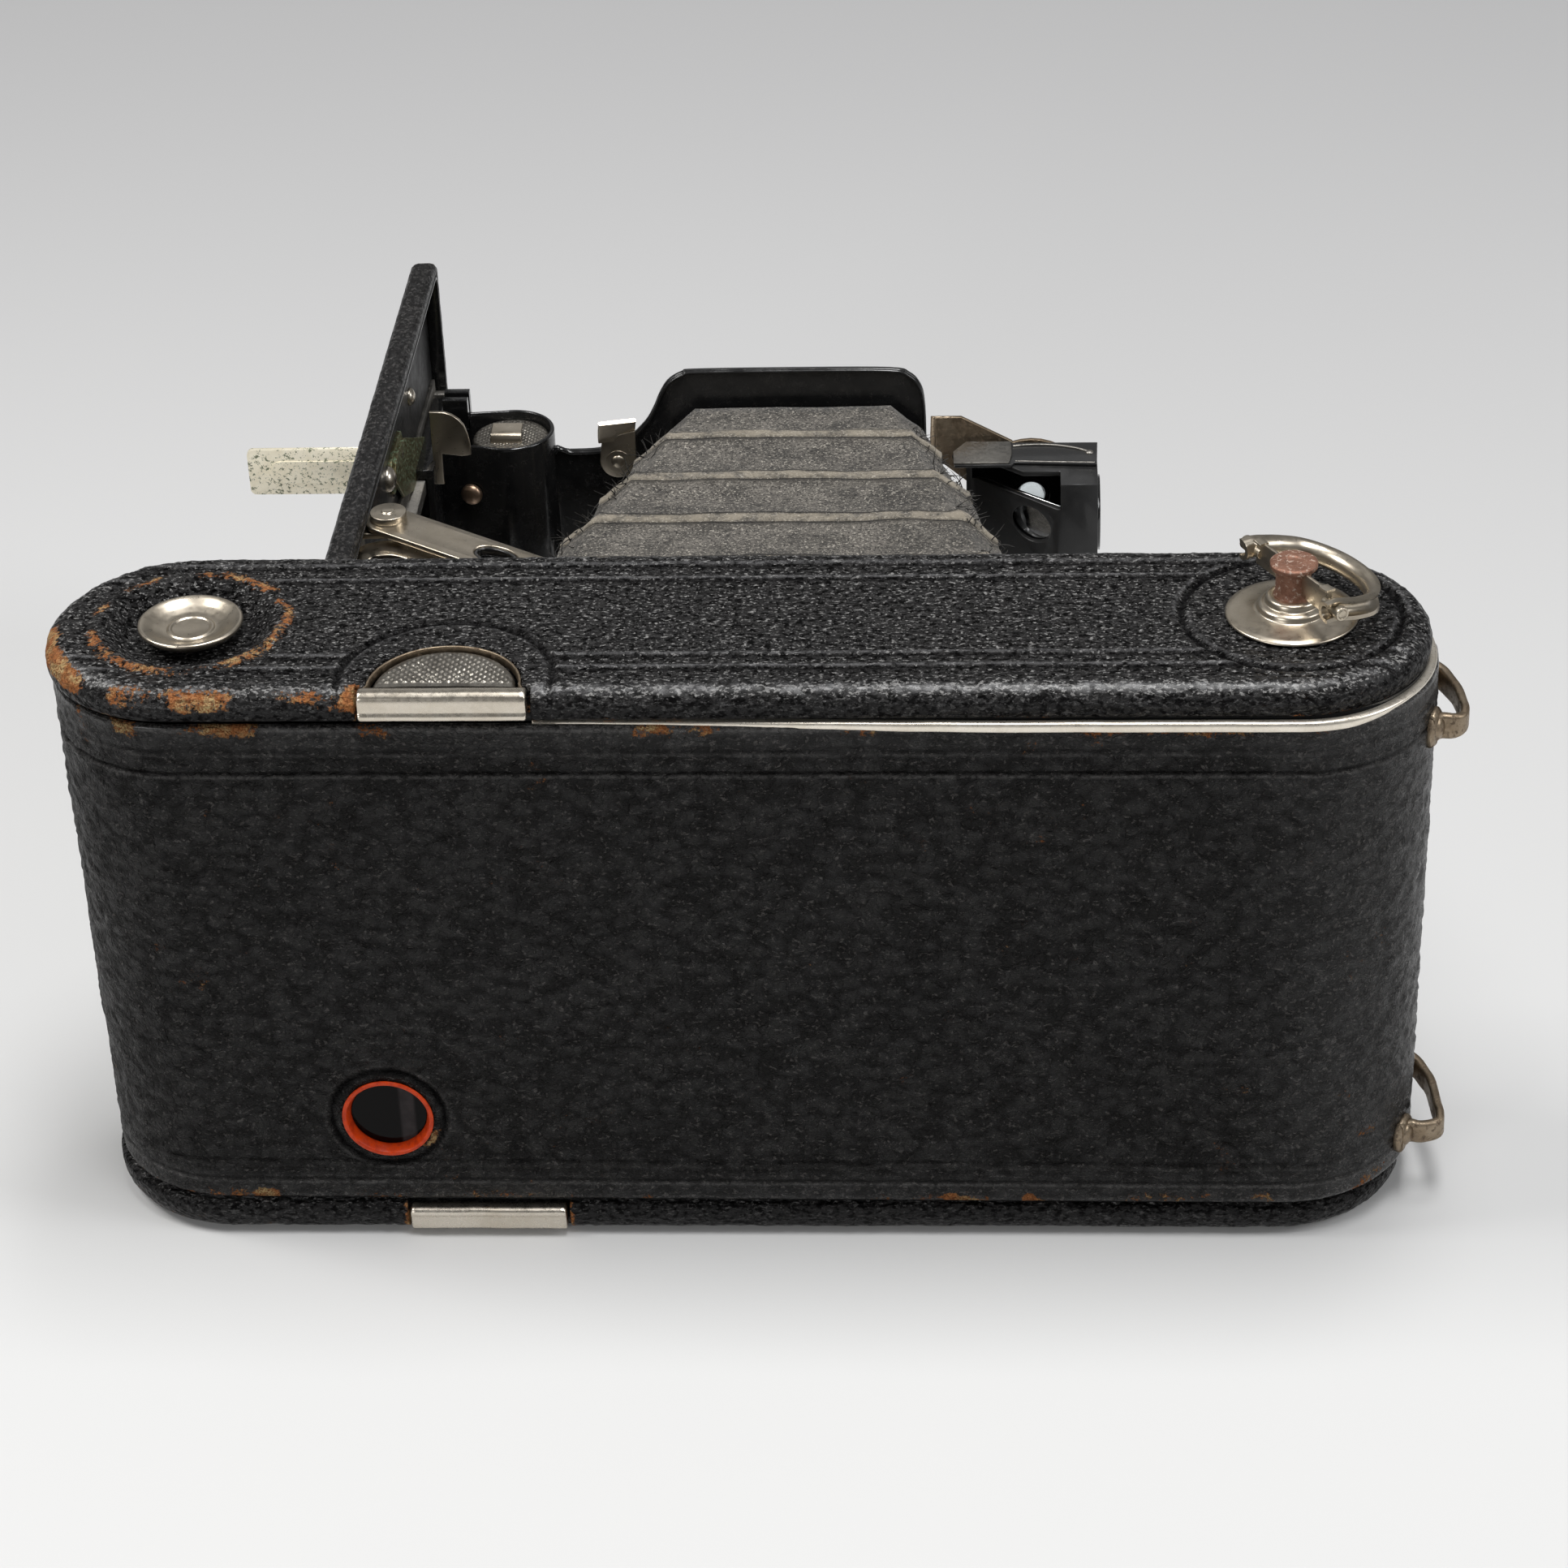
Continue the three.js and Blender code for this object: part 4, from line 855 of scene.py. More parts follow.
RUST = metal("rust_brown", (0.30, 0.155, 0.105), (0.20, 0.095, 0.062), rough=(0.42, 0.66),
             spot=(0.42, 0.33, 0.27), spots=(0.60, 0.70), scale=1.8, bump=0.8, metallic=0.6)
BRASS = metal("spotted_brass", (0.30, 0.265, 0.15), (0.20, 0.175, 0.09), rough=(0.32, 0.55),
              spot=(0.16, 0.24, 0.15), spots=(0.58, 0.66), scale=1.6)
COPPER = metal("worn_copper", (0.52, 0.37, 0.27), (0.38, 0.26, 0.18), rough=(0.30, 0.5),
               grime=0.4)
KNURL = metal("worn_knurl", (0.30, 0.28, 0.245), (0.17, 0.155, 0.135), rough=(0.26, 0.42),
              spot=(0.03, 0.028, 0.025), spots=(0.52, 0.72), scale=2.2, metallic=0.95, bump=0.2)
BELLOWS = bellows_skin("bellows_skin")
FELT = enamel("black_felt", dusty=0.25, rough=(0.85, 0.95))
WINDOW_ORANGE, GLASS, MIRROR, WOOD = window_orange(), lens_glass(), silvered_mirror(), spool_wood()
DARK_SHEET = enamel("dusty_black_sheet", dusty=0.40, rough=(0.42, 0.60))
# painted shade: the finder's eye lens takes near-black enamel for the dark chamber seen through it
SHADE_PAINTED_GLASS = enamel("shade_painted_glass", dusty=0.15, rough=(0.04, 0.12))


# ---------------------------------------------------------------- side panels
def panel_stations(step):
    """(centre x, normal x, normal y) round the outline, from the left end of the -Y side"""
    notch = [LATCH_X - LATCH_HALF - 0.56, LATCH_X - LATCH_HALF - 0.50,
             LATCH_X + LATCH_HALF + 0.50, LATCH_X + LATCH_HALF + 0.56]
    count = int(2 * END_X / step)
    xs = [round(-END_X + 2 * END_X * i / count, 4) for i in range(count + 1)]
    xs = sorted(set(xs + notch))
    arc = int(math.pi * END_R / step)
    out = [(x, 0.0, -1.0) for x in xs]
    for centre, start in ((END_X, -math.pi / 2), (-END_X, math.pi / 2)):
        for i in range(1, arc):
            t = start + math.pi * i / arc
            out.append((centre, math.cos(t), math.sin(t)))
        if centre > 0:
            out += [(x, 0.0, 1.0) for x in reversed(xs)]
    return np.array(out)


def panel_profile(thick, step):
    """(inset from the outline, height above the inner face)"""
    points = [(END_R, 0.0), (12, 0.0), (2.2, 0.0), (1.1, 0.02), (0.5, 0.22), (0.12, 0.65),
              (0.0, 1.15), (0.0, 1.7)]
    roll, rise = 4.3, thick - 2.0
    for i in range(1, 15):         # bulging side and rolled shoulder
        t = math.pi / 2 * i / 14
        points.append((roll - roll * math.cos(t) ** 0.92,
                       2.0 + rise * math.sin(t) ** 0.92 if i < 14 else thick))
    inset = roll + 0.45
    while inset < END_R - 0.2:     # flat face
        points.append((inset, thick))
        inset += step
    points.append((END_R, thick))
    return np.array(points)


def emboss_panel(v, top, from_key, from_knob, upper):
    """height of the pressed lines, which stop short of the key, knob and latch, and mark: their painted highlight on
    the raised edge and painted shade in the groove
    """
    x, y = v[:, 0], v[:, 1]
    from_arch = np.hypot(x - LATCH_X, (y - (LATCH_Y + 6.7)) * 0.98)
    clear = smooth(19.0, 19.6, from_key) * smooth(18.6, 19.6, from_knob)
    clear_arch = smooth(18.9, 19.5, from_arch)
    wavy = y + 0.12 * value_noise(v, 9, 77)
    height, painted_light_shade = np.zeros(len(v)), np.zeros(len(v))
    for line_y, depth in ((-16.5, 0.50), (-12.3, 0.42), (14.0, 0.42), (19.2, 0.50)):
        k = top * clear * (clear_arch if line_y < 0 else 1)
        # painted highlight on the raised edge past each line, painted shade in its groove
        painted_light_shade += k * (bell(wavy, line_y + 0.75, 0.34) - bell(wavy, line_y - 0.25, 0.75))
        height += k * (0.17 * bell(wavy, line_y - 0.9, 0.42)
                       + 0.17 * bell(wavy, line_y + 0.9, 0.42) - depth * bell(wavy, line_y, 0.42))
    if upper:                      # ring round the winding key
        height += top * (0.20 * bell(from_key, 20.1, 0.7) - 0.62 * bell(from_key, 18.9, 0.65)
                         + 0.12 * bell(from_key, 17.7, 0.6))
        # painted highlights beside the key ring, painted shade in its groove
        painted_light_shade += top * (0.55 * bell(from_key, 20.1, 0.45) * (y > 0)
                       + 0.55 * bell(from_key, 17.9, 0.40) * (y < 2)
                       - bell(from_key, 18.9, 0.65))
    arch = top * smooth(-24.9, -22, y)
    height += arch * (0.20 * bell(from_arch, 19.4, 0.6) - 0.55 * bell(from_arch, 18.4, 0.55)
                      + 0.14 * bell(from_arch, 17.3, 0.55))
    # painted shade in the arch's groove, painted highlight inside it
    painted_light_shade += arch * (-0.9 * bell(from_arch, 18.4, 0.6) + 0.30 * bell(from_arch, 17.4, 0.4))
    return height, painted_light_shade


def panel_wear(v, edge, from_knob, inner_z, upper):
    """each line adds a worn area: strength * place * patchy noise"""
    x, y = v[:, 0], v[:, 1]
    by_latch = np.minimum(np.abs(x - (LATCH_X - LATCH_HALF - 0.6)),
                          np.abs(x - (LATCH_X + LATCH_HALF + 0.6)))

    def patchy(low, high, size, seed, shift=0.0):
        return smooth(low, high, fbm(v, size, seed, 2) + shift)

    wear = np.full(len(v), -0.30)
    if upper:
        wear += 0.84 * bell(from_knob, 16.9, 2.6) * patchy(-0.45, 0.20, 9, 5, 0.16 * (x < KNOB_X))
        wear += 0.66 * (x < -60) * edge * patchy(-0.35, 0.30, 9, 61, 0.1)
        wear += 0.40 * smooth(-56, -104, x) * edge * (y < 3)
        wear += 0.95 * bell(by_latch, 0, 2.0) * smooth(-19, -23, y) * patchy(-0.6, 0.1, 3.2, 88)
        wear += 0.46 * edge * (y < 0) * patchy(0.0, 0.4, 12, 62)
        wear += (0.66 * (1 - smooth(inner_z + 0.4, inner_z + 2.4, v[:, 2]))
                 * patchy(0.0, 0.35, 10, 63))
    else:
        wear += 0.50 * smooth(60, 108, x) * edge * patchy(-0.3, 0.35, 12, 8)
        wear += 0.40 * smooth(-60, -100, x) * edge * patchy(-0.3, 0.35, 12, 18)
        wear += 0.20 * edge
        wear += 0.8 * bell(by_latch, 0, 1.0) * smooth(-19.5, -23.5, y)
    return wear


def side_panel(name, node, upper, step, face_step):
    inner_z, outer_z = (PANEL_LOW[2], PANEL_HIGH[2]) if upper else (LOWER_INNER_Z, 0.0)
    out = 1.0 if upper else -1.0
    thick = abs(outer_z - inner_z)
    stations, profile = panel_stations(step), panel_profile(thick, face_step)
    n, m = len(stations), len(profile)
    inset = np.repeat(profile[None, :, 0], n, 0)
    height = np.repeat(profile[None, :, 1], n, 0)
    v = np.stack([stations[:, None, 0] + stations[:, None, 1] * (END_R - inset),
                  stations[:, None, 2] * (END_R - inset),
                  inner_z + out * height], 2).reshape(-1, 3)
    faces = np.array(grid(n, m, close_u=True))
    normals = vertex_normals(v, faces)
    outward = np.stack([np.repeat(stations[:, 1], m), np.repeat(stations[:, 2], m),
                        np.full(n * m, out)], 1)
    flip = np.sign((normals * outward).sum(1))
    flip[flip == 0] = 1
    normals = normals * flip[:, None]
    inset, height = inset.ravel(), height.ravel()
    top = smooth(thick - 2.2, thick - 0.2, height)       # 1 on the outer face
    edge = np.exp(-((inset - 1.0) / 2.6) ** 2) * smooth(1.2, 2.6, height)
    from_key = np.hypot(v[:, 0] - KEY_X, v[:, 1] - KEY_Y - 0.8)
    from_knob = np.hypot(v[:, 0] - KNOB_X, v[:, 1] - KNOB_Y)

    # soft unevenness, wrinkles round the rolled edge, and grain on the face
    lift = 0.10 * fbm(v, 16, 3) * smooth(0.8, 2.0, height)
    lift += edge * (0.17 * fbm(v, (2.6, 2.2, 2.2), 9, 3)
                    + 0.13 * (1 - np.abs(fbm(v, (1.7, 1.7, 3.4), 29, 2)) * 2))
    lift += 0.085 * fbm(v, (2.6, 1.15, 1.15), 41, 2) * top
    # slight roll standing above the flat
    lift += 0.16 * np.exp(-((inset - 3.2) / 2.0) ** 2) * top
    lift -= 0.10 * np.exp(-((inset - 6.4) / 1.6) ** 2) * top
    pressed, painted_light_shade = emboss_panel(v, top, from_key, from_knob, upper)
    v = v + normals * (lift + pressed)[:, None]
    x, y = v[:, 0], v[:, 1]

    if upper:                      # knob dish with a pit in its middle
        dish = 3.25 * (1 - smooth(10.4, 15.6, from_knob)) - 0.42 * bell(from_knob, 16.5, 1.0)
        v[:, 2] -= top * dish
        v[:, 2] -= top * (1 - smooth(3.15, 3.6, from_knob)) * 1.2
    # pocket for the half-moon pad, deep enough for it to dip when the latch rocks
    k = 1 - smooth(12.9, 13.5, np.hypot(x - LATCH_X, y - PAD_Y))
    floor = outer_z - out * (3.9 if upper else 5.0)
    sunk = np.where(top > 0.02, v[:, 2] * (1 - k) + floor * k, v[:, 2])
    above = (v[:, 2] - floor) * out > 0
    v[:, 2] = np.where(above & (y > LATCH_Y - 2), sunk, v[:, 2])
    # notch for the latch bar, with room to lean in
    notch_y = LATCH_Y + 4.25
    in_notch = (np.abs(x - LATCH_X) < LATCH_HALF + 0.53) & (y < notch_y)
    v[:, 1] = np.where(in_notch, notch_y, v[:, 1])
    if not upper:                  # seat of the tripod bush
        bush = centre_mm("tripod_bush")
        from_bush = np.hypot(x - bush[0], y - bush[1])
        v[:, 2] += top * (1 - smooth(8.6, 9.1, from_bush)) * 1.0

    wear = panel_wear(v, edge, from_knob, inner_z, upper)
    # painted highlight: crown is a narrow wrinkled band along the top of the rolled edge on the -Y side, brightened
    # through mark, with a glossier coat and more painted glints through gloss; the roll's outer side gets painted shade
    # through a negative mark
    crown = np.exp(-((inset - 2.3) / 0.9) ** 2) * smooth(-4, -14, y)
    painted_light_shade += (0.75 * crown * smooth(-0.25, 0.25, fbm(v, (3.4, 1.6, 1.6), 93, 2))
             - 0.55 * (1 - smooth(0.3, 1.3, inset)) * smooth(0, -8, y))
    attrs = {"wear": wear, "gloss_and_painted_glint": edge * 0.25 + 0.75 * crown, "painted_light_shade": np.clip(painted_light_shade, -1, 1)}
    make(name, (v, faces), LEATHER_TOP, "camera_body", "leather", node, attrs, weld=0.02)


side_panel("upper_panel", "side_panel_top", upper=True, step=0.5, face_step=0.45)
side_panel("lower_panel", "side_panel_bottom", upper=False, step=0.7, face_step=0.6)


# ---------------------------------------------------------------- removable back
def back_path(step):
    """(x, y, normal x, normal y) from the right seam round the back to the left seam"""
    points = []
    swing = math.asin((SEAM_Y - COVER_RIGHT_Y) / COVER_RIGHT_R)
    count = int((swing + math.pi / 2) * COVER_RIGHT_R / step)
    for i in range(count + 1):
        t = swing - (swing + math.pi / 2) * i / count
        c, s = math.cos(t), math.sin(t)
        points.append((COVER_RIGHT_X + COVER_RIGHT_R * c, COVER_RIGHT_Y + COVER_RIGHT_R * s, c, s))
    dx, y_right = COVER_RIGHT_X + END_X, COVER_RIGHT_Y - COVER_RIGHT_R
    dy = -COVER_LEFT_R - y_right
    length = math.hypot(dx, dy)
    count = int(dx / step)
    for i in range(1, count):
        t = i / count
        points.append((COVER_RIGHT_X - dx * t, y_right + dy * t, dy / length, -dx / length))
    swing = math.asin(SEAM_Y / COVER_LEFT_R)
    count = int((swing + math.pi / 2) * COVER_LEFT_R / step)
    for i in range(count + 1):
        t = -math.pi / 2 - (swing + math.pi / 2) * i / count
        c, s = math.cos(t), math.sin(t)
        points.append((-END_X + COVER_LEFT_R * c, COVER_LEFT_R * s, c, s))
    return np.array(points)


def back_section(z0, z1, step):
    """closed section of the shell: (distance outwards, z)"""
    thick = 1.55
    edge = [(-thick, 0.3), (-thick * 0.8, 0.05), (-0.9, 0.0), (-0.45, 0.08), (-0.12, 0.35),
            (0, 0.8)]             # (distance outwards, distance in from the z end)
    tall = z1 - z0 - 1.6
    outer, inner = int(tall / step), 50
    section = [(o, z0 + d) for o, d in edge]
    section += [(0, z0 + 0.8 + tall * i / outer) for i in range(1, outer)]
    section += [(o, z1 - d) for o, d in reversed(edge)]
    section += [(-thick, z1 - 0.8 - tall * i / inner) for i in range(inner + 1)]
    return np.array(section)


def back_cover():
    step = 0.62
    z0, z1 = COVER_LOW[2], COVER_HIGH[2]
    path, section = back_path(step), back_section(z0, z1, step)
    n, m = len(path), len(section)
    offset, z = np.tile(section[:, 0], n), np.tile(section[:, 1], n)
    normals = np.stack([np.repeat(path[:, 2], m), np.repeat(path[:, 3], m), np.zeros(n * m)], 1)
    v = np.stack([np.repeat(path[:, 0], m) + normals[:, 0] * offset,
                  np.repeat(path[:, 1], m) + normals[:, 1] * offset, z], 1)
    flat = np.stack([np.repeat(np.arange(n) * step, m), z, np.zeros(n * m)], 1)  # unrolled
    x = v[:, 0]

    # pebble grain, softer on the border beyond the lines
    shake = np.stack([value_noise(flat, 3, 5), value_noise(flat, 3, 6), np.zeros(n * m)], 1)
    first, second = cell_distances(flat + 0.9 * shake, (3.9, 2.7, 50), 3)
    pebbles = np.clip(second - first, 0, 0.5) * 2
    border = np.maximum(smooth(102.2, 105.6, z), 1 - smooth(11.8, 15.2, z))
    lift = (0.30 * (pebbles - 0.5) + 0.14 * fbm(flat, (2.0, 1.6, 9), 12, 2)
            + 0.16 * fbm(flat, 24, 31, 2))
    lift *= 1 - 0.45 * border
    # embossed double lines near the upper and lower edges
    wavy = z + 0.10 * value_noise(flat, 8, 71)
    painted_light_shade = np.zeros(len(v))
    for line_z, depth in ((z1 - 4.9, 0.26), (z1 - 9.5, 0.30), (z0 + 8.6, 0.26), (z0 + 4.6, 0.22)):
        # mark: painted highlight below each line and painted shade in its groove
        painted_light_shade += 0.85 * bell(wavy, line_z - 0.62, 0.26) - 0.50 * bell(wavy, line_z, 0.36)
        lift += (-depth * bell(wavy, line_z, 0.32) + 0.10 * bell(wavy, line_z + 0.75, 0.34)
                 + 0.10 * bell(wavy, line_z - 0.75, 0.34))
    # ring pressed round the window
    from_window = np.hypot(x - WINDOW_X, z - WINDOW_Z)
    on_back = normals[:, 1] < -0.9
    lift = lift * (smooth(WINDOW_R + 0.2, WINDOW_R + 2.2, from_window) * 0.8 + 0.2)
    lift += on_back * (0.26 * bell(from_window, WINDOW_R + 0.9, 0.7)
                       - 0.42 * bell(from_window, WINDOW_R + 2.1, 0.5)
                       + 0.12 * bell(from_window, WINDOW_R + 3.1, 0.5))
    # painted highlight on the ring's outer edge, painted shade in its groove
    painted_light_shade += on_back * (0.5 * bell(from_window, WINDOW_R + 3.0, 0.4)
                       - bell(from_window, WINDOW_R + 2.1, 0.5))
    # painted highlight: thin bright line along the cover's top edge
    painted_light_shade += 0.95 * bell(z, z1 - 0.9, 0.40) * smooth(-116, -104, x)
    # creases down the right-hand bend
    lift += 0.14 * bell(x, 104, 7) * fbm(flat, (1.8, 9, 9), 91, 2)
    v = v + normals * (lift * smooth(-0.4, -0.02, offset))[:, None]
    x = v[:, 0]

    # upper edge, lower edge, window ring, lower right corner, left end, scattered spots
    wear = np.full(len(v), -0.42)
    wear += ((0.92 + 0.12 * (x < -25)) * smooth(z1 - 4.8, z1 - 1.2, z)
             * smooth(-0.30, 0.30, fbm(flat, 9, 4, 2) - 0.10 * (x > -25)))
    wear += 0.80 * (1 - smooth(z0 + 0.8, z0 + 6, z)) * smooth(-0.15, 0.35, fbm(flat, 12, 14, 2))
    wear += 0.50 * bell(from_window, WINDOW_R + 1.0, 0.8) * on_back
    wear += 0.26 * smooth(60, 104, x) * (1 - smooth(z0 + 4, z0 + 22, z))
    wear += 0.10 * smooth(-80, -112, x)
    wear += 0.62 * smooth(0.36, 0.6, fbm(flat, 7, 210, 2))
    rims = np.maximum(smooth(z1 - 1.4, z1 - 0.4, z), 1 - smooth(z0 + 0.4, z0 + 1.4, z))
    # gloss: glossier coat and more painted glints on the border, rims and right-hand bend
    gloss_and_painted_glint = 0.25 * border + 0.6 * rims + 0.35 * smooth(86, 108, x)

    # window hole: the faces inside it go and its rim points move on to the circle
    *quads, cap_a, cap_b = tube_faces(n, m)
    quads = np.array(quads)
    middle = v[quads].mean(1)
    hole = ((np.hypot(middle[:, 0] - WINDOW_X, middle[:, 2] - WINDOW_Z) < WINDOW_R)
            & (middle[:, 1] < -20))
    rim = np.intersect1d(np.unique(quads[hole]), np.unique(quads[~hole]))
    dx, dz = v[rim, 0] - WINDOW_X, v[rim, 2] - WINDOW_Z
    r = np.maximum(np.hypot(dx, dz), 1e-6)
    v[rim, 0] = WINDOW_X + dx / r * WINDOW_R
    v[rim, 2] = WINDOW_Z + dz / r * WINDOW_R

    bm = bmesh.new()
    layers = [(bm.verts.layers.float.new(key), values) for key, values in
              (("wear", wear), ("gloss_and_painted_glint", gloss_and_painted_glint), ("painted_light_shade", np.clip(painted_light_shade, -1, 1)))]
    points = [bm.verts.new(p * MM) for p in v]
    for layer, values in layers:
        for point, value in zip(points, values):
            point[layer] = value
    for face in [*quads[~hole], cap_a, cap_b]:
        bm.faces.new([points[i] for i in face])
    loose = [p for p in bm.verts if not p.link_faces]
    bmesh.ops.delete(bm, geom=loose, context="VERTS")
    bmesh.ops.bridge_loops(bm, edges=[e for e in bm.edges if e.is_boundary])
    bmesh.ops.recalc_face_normals(bm, faces=bm.faces)
    mesh = bpy.data.meshes.new("back_leather")
    bm.to_mesh(mesh)
    bm.free()
    mesh.materials.append(LEATHER_BACK)
    shade_smooth(mesh)
    add_object("back_leather", mesh, "back_cover", "leather", "back_cover")


def edge_strip():
    """thin rolled nickel band on the upper edge of the back, bolder towards the right"""
    top_z = box_mm("cover_trim")[1][2]
    path = back_path(1.2)
    path = path[path[:, 0] > -34]
    # (distance outwards, height)
    section = [(-1.3, -0.30), (-1.2, 0.28), (-0.2, 0.30), (0.15, 0.18), (0.28, -0.05),
               (0.22, -0.45), (0.0, -0.62), (-0.3, -0.30)]
    v = []
    for x, y, nx, ny in path:
        full = smooth(-34, 50, x)       # grows from the left
        fade = smooth(104, 117, x)      # tucks in round the right-hand bend
        for a, b in section:
            grow = a - 1.0 * (1 - full) + 0.14 * full - 0.75 * fade
            rise = b * (0.7 + 1.3 * full) * (1 - 0.45 * fade) - 0.32 * full * (1 - 0.5 * fade)
            v.append((x + nx * grow, y + ny * grow, top_z - 0.30 + rise))
    v = np.array(v)
    v[:, 2] += 0.05 * value_noise(v, 6, 3)
    make("edge_strip", (v, tube_faces(len(path), len(section))), NICKEL_TRIM, "back_cover",
         "nickel", "cover_trim", sharp=50)


def seam_felt(name, z0, z1):
    """dark felt that shuts the seam under a side panel"""
    path = back_path(1.5)
    section = ((-1.75, z0), (-1.75, z1), (-3.6, z1), (-3.6, z0))
    v = np.array([(x + nx * o, y + ny * o, z) for x, y, nx, ny in path for o, z in section])
    v[:, :2] += 0.06 * np.stack([value_noise(v, 1.5, 4), value_noise(v, 1.5, 5)], 1)
    make(name, (v, tube_faces(len(path), 4)), FELT, "camera_body", "black_enamel", sharp=50)


def window():
    """moulded ring with a soft inner slope, and the dark celluloid"""
    centre = (WINDOW_X, 0, WINDOW_Z)
    r = WINDOW_R
    ring = [(6.9, 22.4), (r - 0.05, 22.4), (r - 0.05, 24.8), (r + 0.15, 24.9), (r + 0.1, 25.25),
            (r - 0.6, 25.35), (7.3, 24.6), (6.95, 23.6), (6.9, 22.4)]
    lathe("window_bezel", centre, (0, -1, 0), ring, WINDOW_ORANGE, "back_cover", "window_ring",
          "window_ring", r=0.3)
    lathe("window_celluloid", centre, (0, -1, 0), [(0, 22.5), (6.88, 22.5), (6.88, 23.3), (0, 23.35)],
          window_dark(reflection_x=WINDOW_X + 3.4), "back_cover", "ruby_window", "window_glass", seg=64,
          r=0.1)


def strap_lug(name, node, foot_y):
    """bent strip with a notched washer and rivet head at each foot"""
    z = centre_mm(node)[2]
    angle = math.asin((foot_y - COVER_RIGHT_Y) / COVER_RIGHT_R)
    fx, fy = COVER_RIGHT_X + COVER_RIGHT_R * math.cos(angle), foot_y
    path = spline([
        (fx - 0.9, fy - 2.0, z), (fx + 0.2, fy - 0.3, z), (fx + 1.6, fy + 0.4, z),
        (fx + 3.6, fy + 0.2, z), (126.0, fy + 1.3, z), (126.6, fy + 3.6, z + 0.3),
        (126.3, fy + 6.6, z + 0.3), (125.9, 1.8, z + 0.2), (125.0, 5.2, z), (123.9, 8.2, z),
        (122.3, 9.9, z), (121.0, 10.9, z)], 6)
    widths = []                    # wider at the feet, slimmer between them
    for i in range(len(path)):
        t = i / (len(path) - 1)
        widths.append(1.0 + 0.25 * bell(t, 0.02, 0.08) + 0.25 * bell(t, 0.98, 0.08)
                      - 0.18 * math.sin(math.pi * t) ** 2)
    v, faces = sweep(path, rounded_rect(-0.95, 0.95, -2.5, 2.5, 0.75, 4), (0, 0, 1),
                     scale=widths)
    v = v + 0.10 * np.stack([value_noise(v, 4, k) for k in (1, 2, 3)], 1)
    parts = [(v, faces)]
    washer = fillet([(0, -0.4), (3.5, -0.4), (3.6, 0.5), (3.0, 1.0), (2.3, 1.05), (2.0, 1.5),
                     (1.2, 2.0), (0, 2.15)], 0.2)
    feet = (((fx, fy, z), (math.cos(angle), math.sin(angle), 0)),
            ((120.1, 9.7, z), (0.92, 0.38, 0)))
    for centre, normal in feet:
        normal = np.array(normal)
        v, faces = revolve(centre, normal, washer, 40)
        arm = v - np.array(centre)
        around = np.arctan2(arm[:, 2], arm @ np.cross(normal, [0, 0, 1]))
        r = np.linalg.norm(np.cross(arm, normal), axis=1)
        v = v + normal * (0.10 * np.sin(around * 16) * bell(r, 3.0, 0.6))[:, None]
        parts.append((v, faces))
    make(name, merge(parts), NICKEL_BROWN, "back_cover", "steel", node, weld=WELD, sharp=50)


back_cover()
edge_strip()
seam_felt("seam_felt_upper", 109.62, 110.5)
seam_felt("seam_felt_lower", LOWER_INNER_Z - 0.1, 7.7)
window()
strap_lug("lug_upper", "strap_lug_upper", foot_y=-8.2)
strap_lug("lug_lower", "strap_lug_lower", foot_y=-11.6)


# ---------------------------------------------------------------- knob and winding key
def spool_knob():
    low, high = box_mm("supply_knob")
    z0, z1 = low[2], high[2]
    profile = [(0, z0), (1.9, z0), (1.9, 107), (3.0, 107)]
    # shallow dish with a raised middle: (radius, height over the knob's top)
    profile += [(r, z1 + h) for r, h in (
        (3.0, -3.3), (5.2, -3.2), (7.6, -2.1), (8.9, -1.05), (9.25, -0.55), (9.15, -0.1),
        (8.75, 0.05), (8.2, -0.12), (6.6, -0.95), (5.2, -1.45), (4.25, -1.6), (4.0, -1.35),
        (3.6, -1.3), (3.3, -1.55), (1.5, -1.72), (0, -1.75))]
    lathe("spool_knob", (KNOB_X, KNOB_Y, 0), "z", profile, NICKEL, "supply_knob", "nickel",
          "supply_knob", r=0.35)


def key_post():
    """stepped flange with a rusty post on it"""
    low, high = box_mm("key_post")
    z0, z1 = low[2] + 2, high[2]
    flange = [(0, z0), (2.4, z0), (2.4, 116.25), (11.2, 116.25), (11.55, 116.5), (11.4, 116.85),
              (10.6, 117.15), (8.6, 117.35), (6.6, 117.6), (6.1, 117.75), (5.9, 118.6),
              (5.3, 118.95), (4.75, 119.05), (4.7, 119.6), (4.5, 120.15), (3.9, 120.4),
              (3.3, 120.35), (3.2, 119.9), (0, 119.9)]
    lathe("key_flange", (KEY_X, KEY_Y, 0), "z", flange, NICKEL, "winding_key", "nickel", r=0.3)
    post = [(0, 119.8), (3.4, 119.8), (3.3, 120.5), (3.05, 121.4), (3.0, 125.0), (3.5, 125.5),
            (4.1, 125.75), (4.15, 126.5), (3.8, z1), (1.6, z1 + 0.1), (1.3, z1 - 0.1),
            (0, z1 - 0.12)]
    v, faces = revolve((KEY_X, KEY_Y, 0), "z", fillet(post, 0.16), 64)
    v = v + 0.05 * np.stack([value_noise(v, size, seed)
                             for size, seed in ((1.6, 5), (1.6, 6), (1.2, 7))], 1)
    make("key_post_head", (v, faces), RUST, "winding_key", "rusty_steel", "key_post", weld=WELD,
         sharp=60)


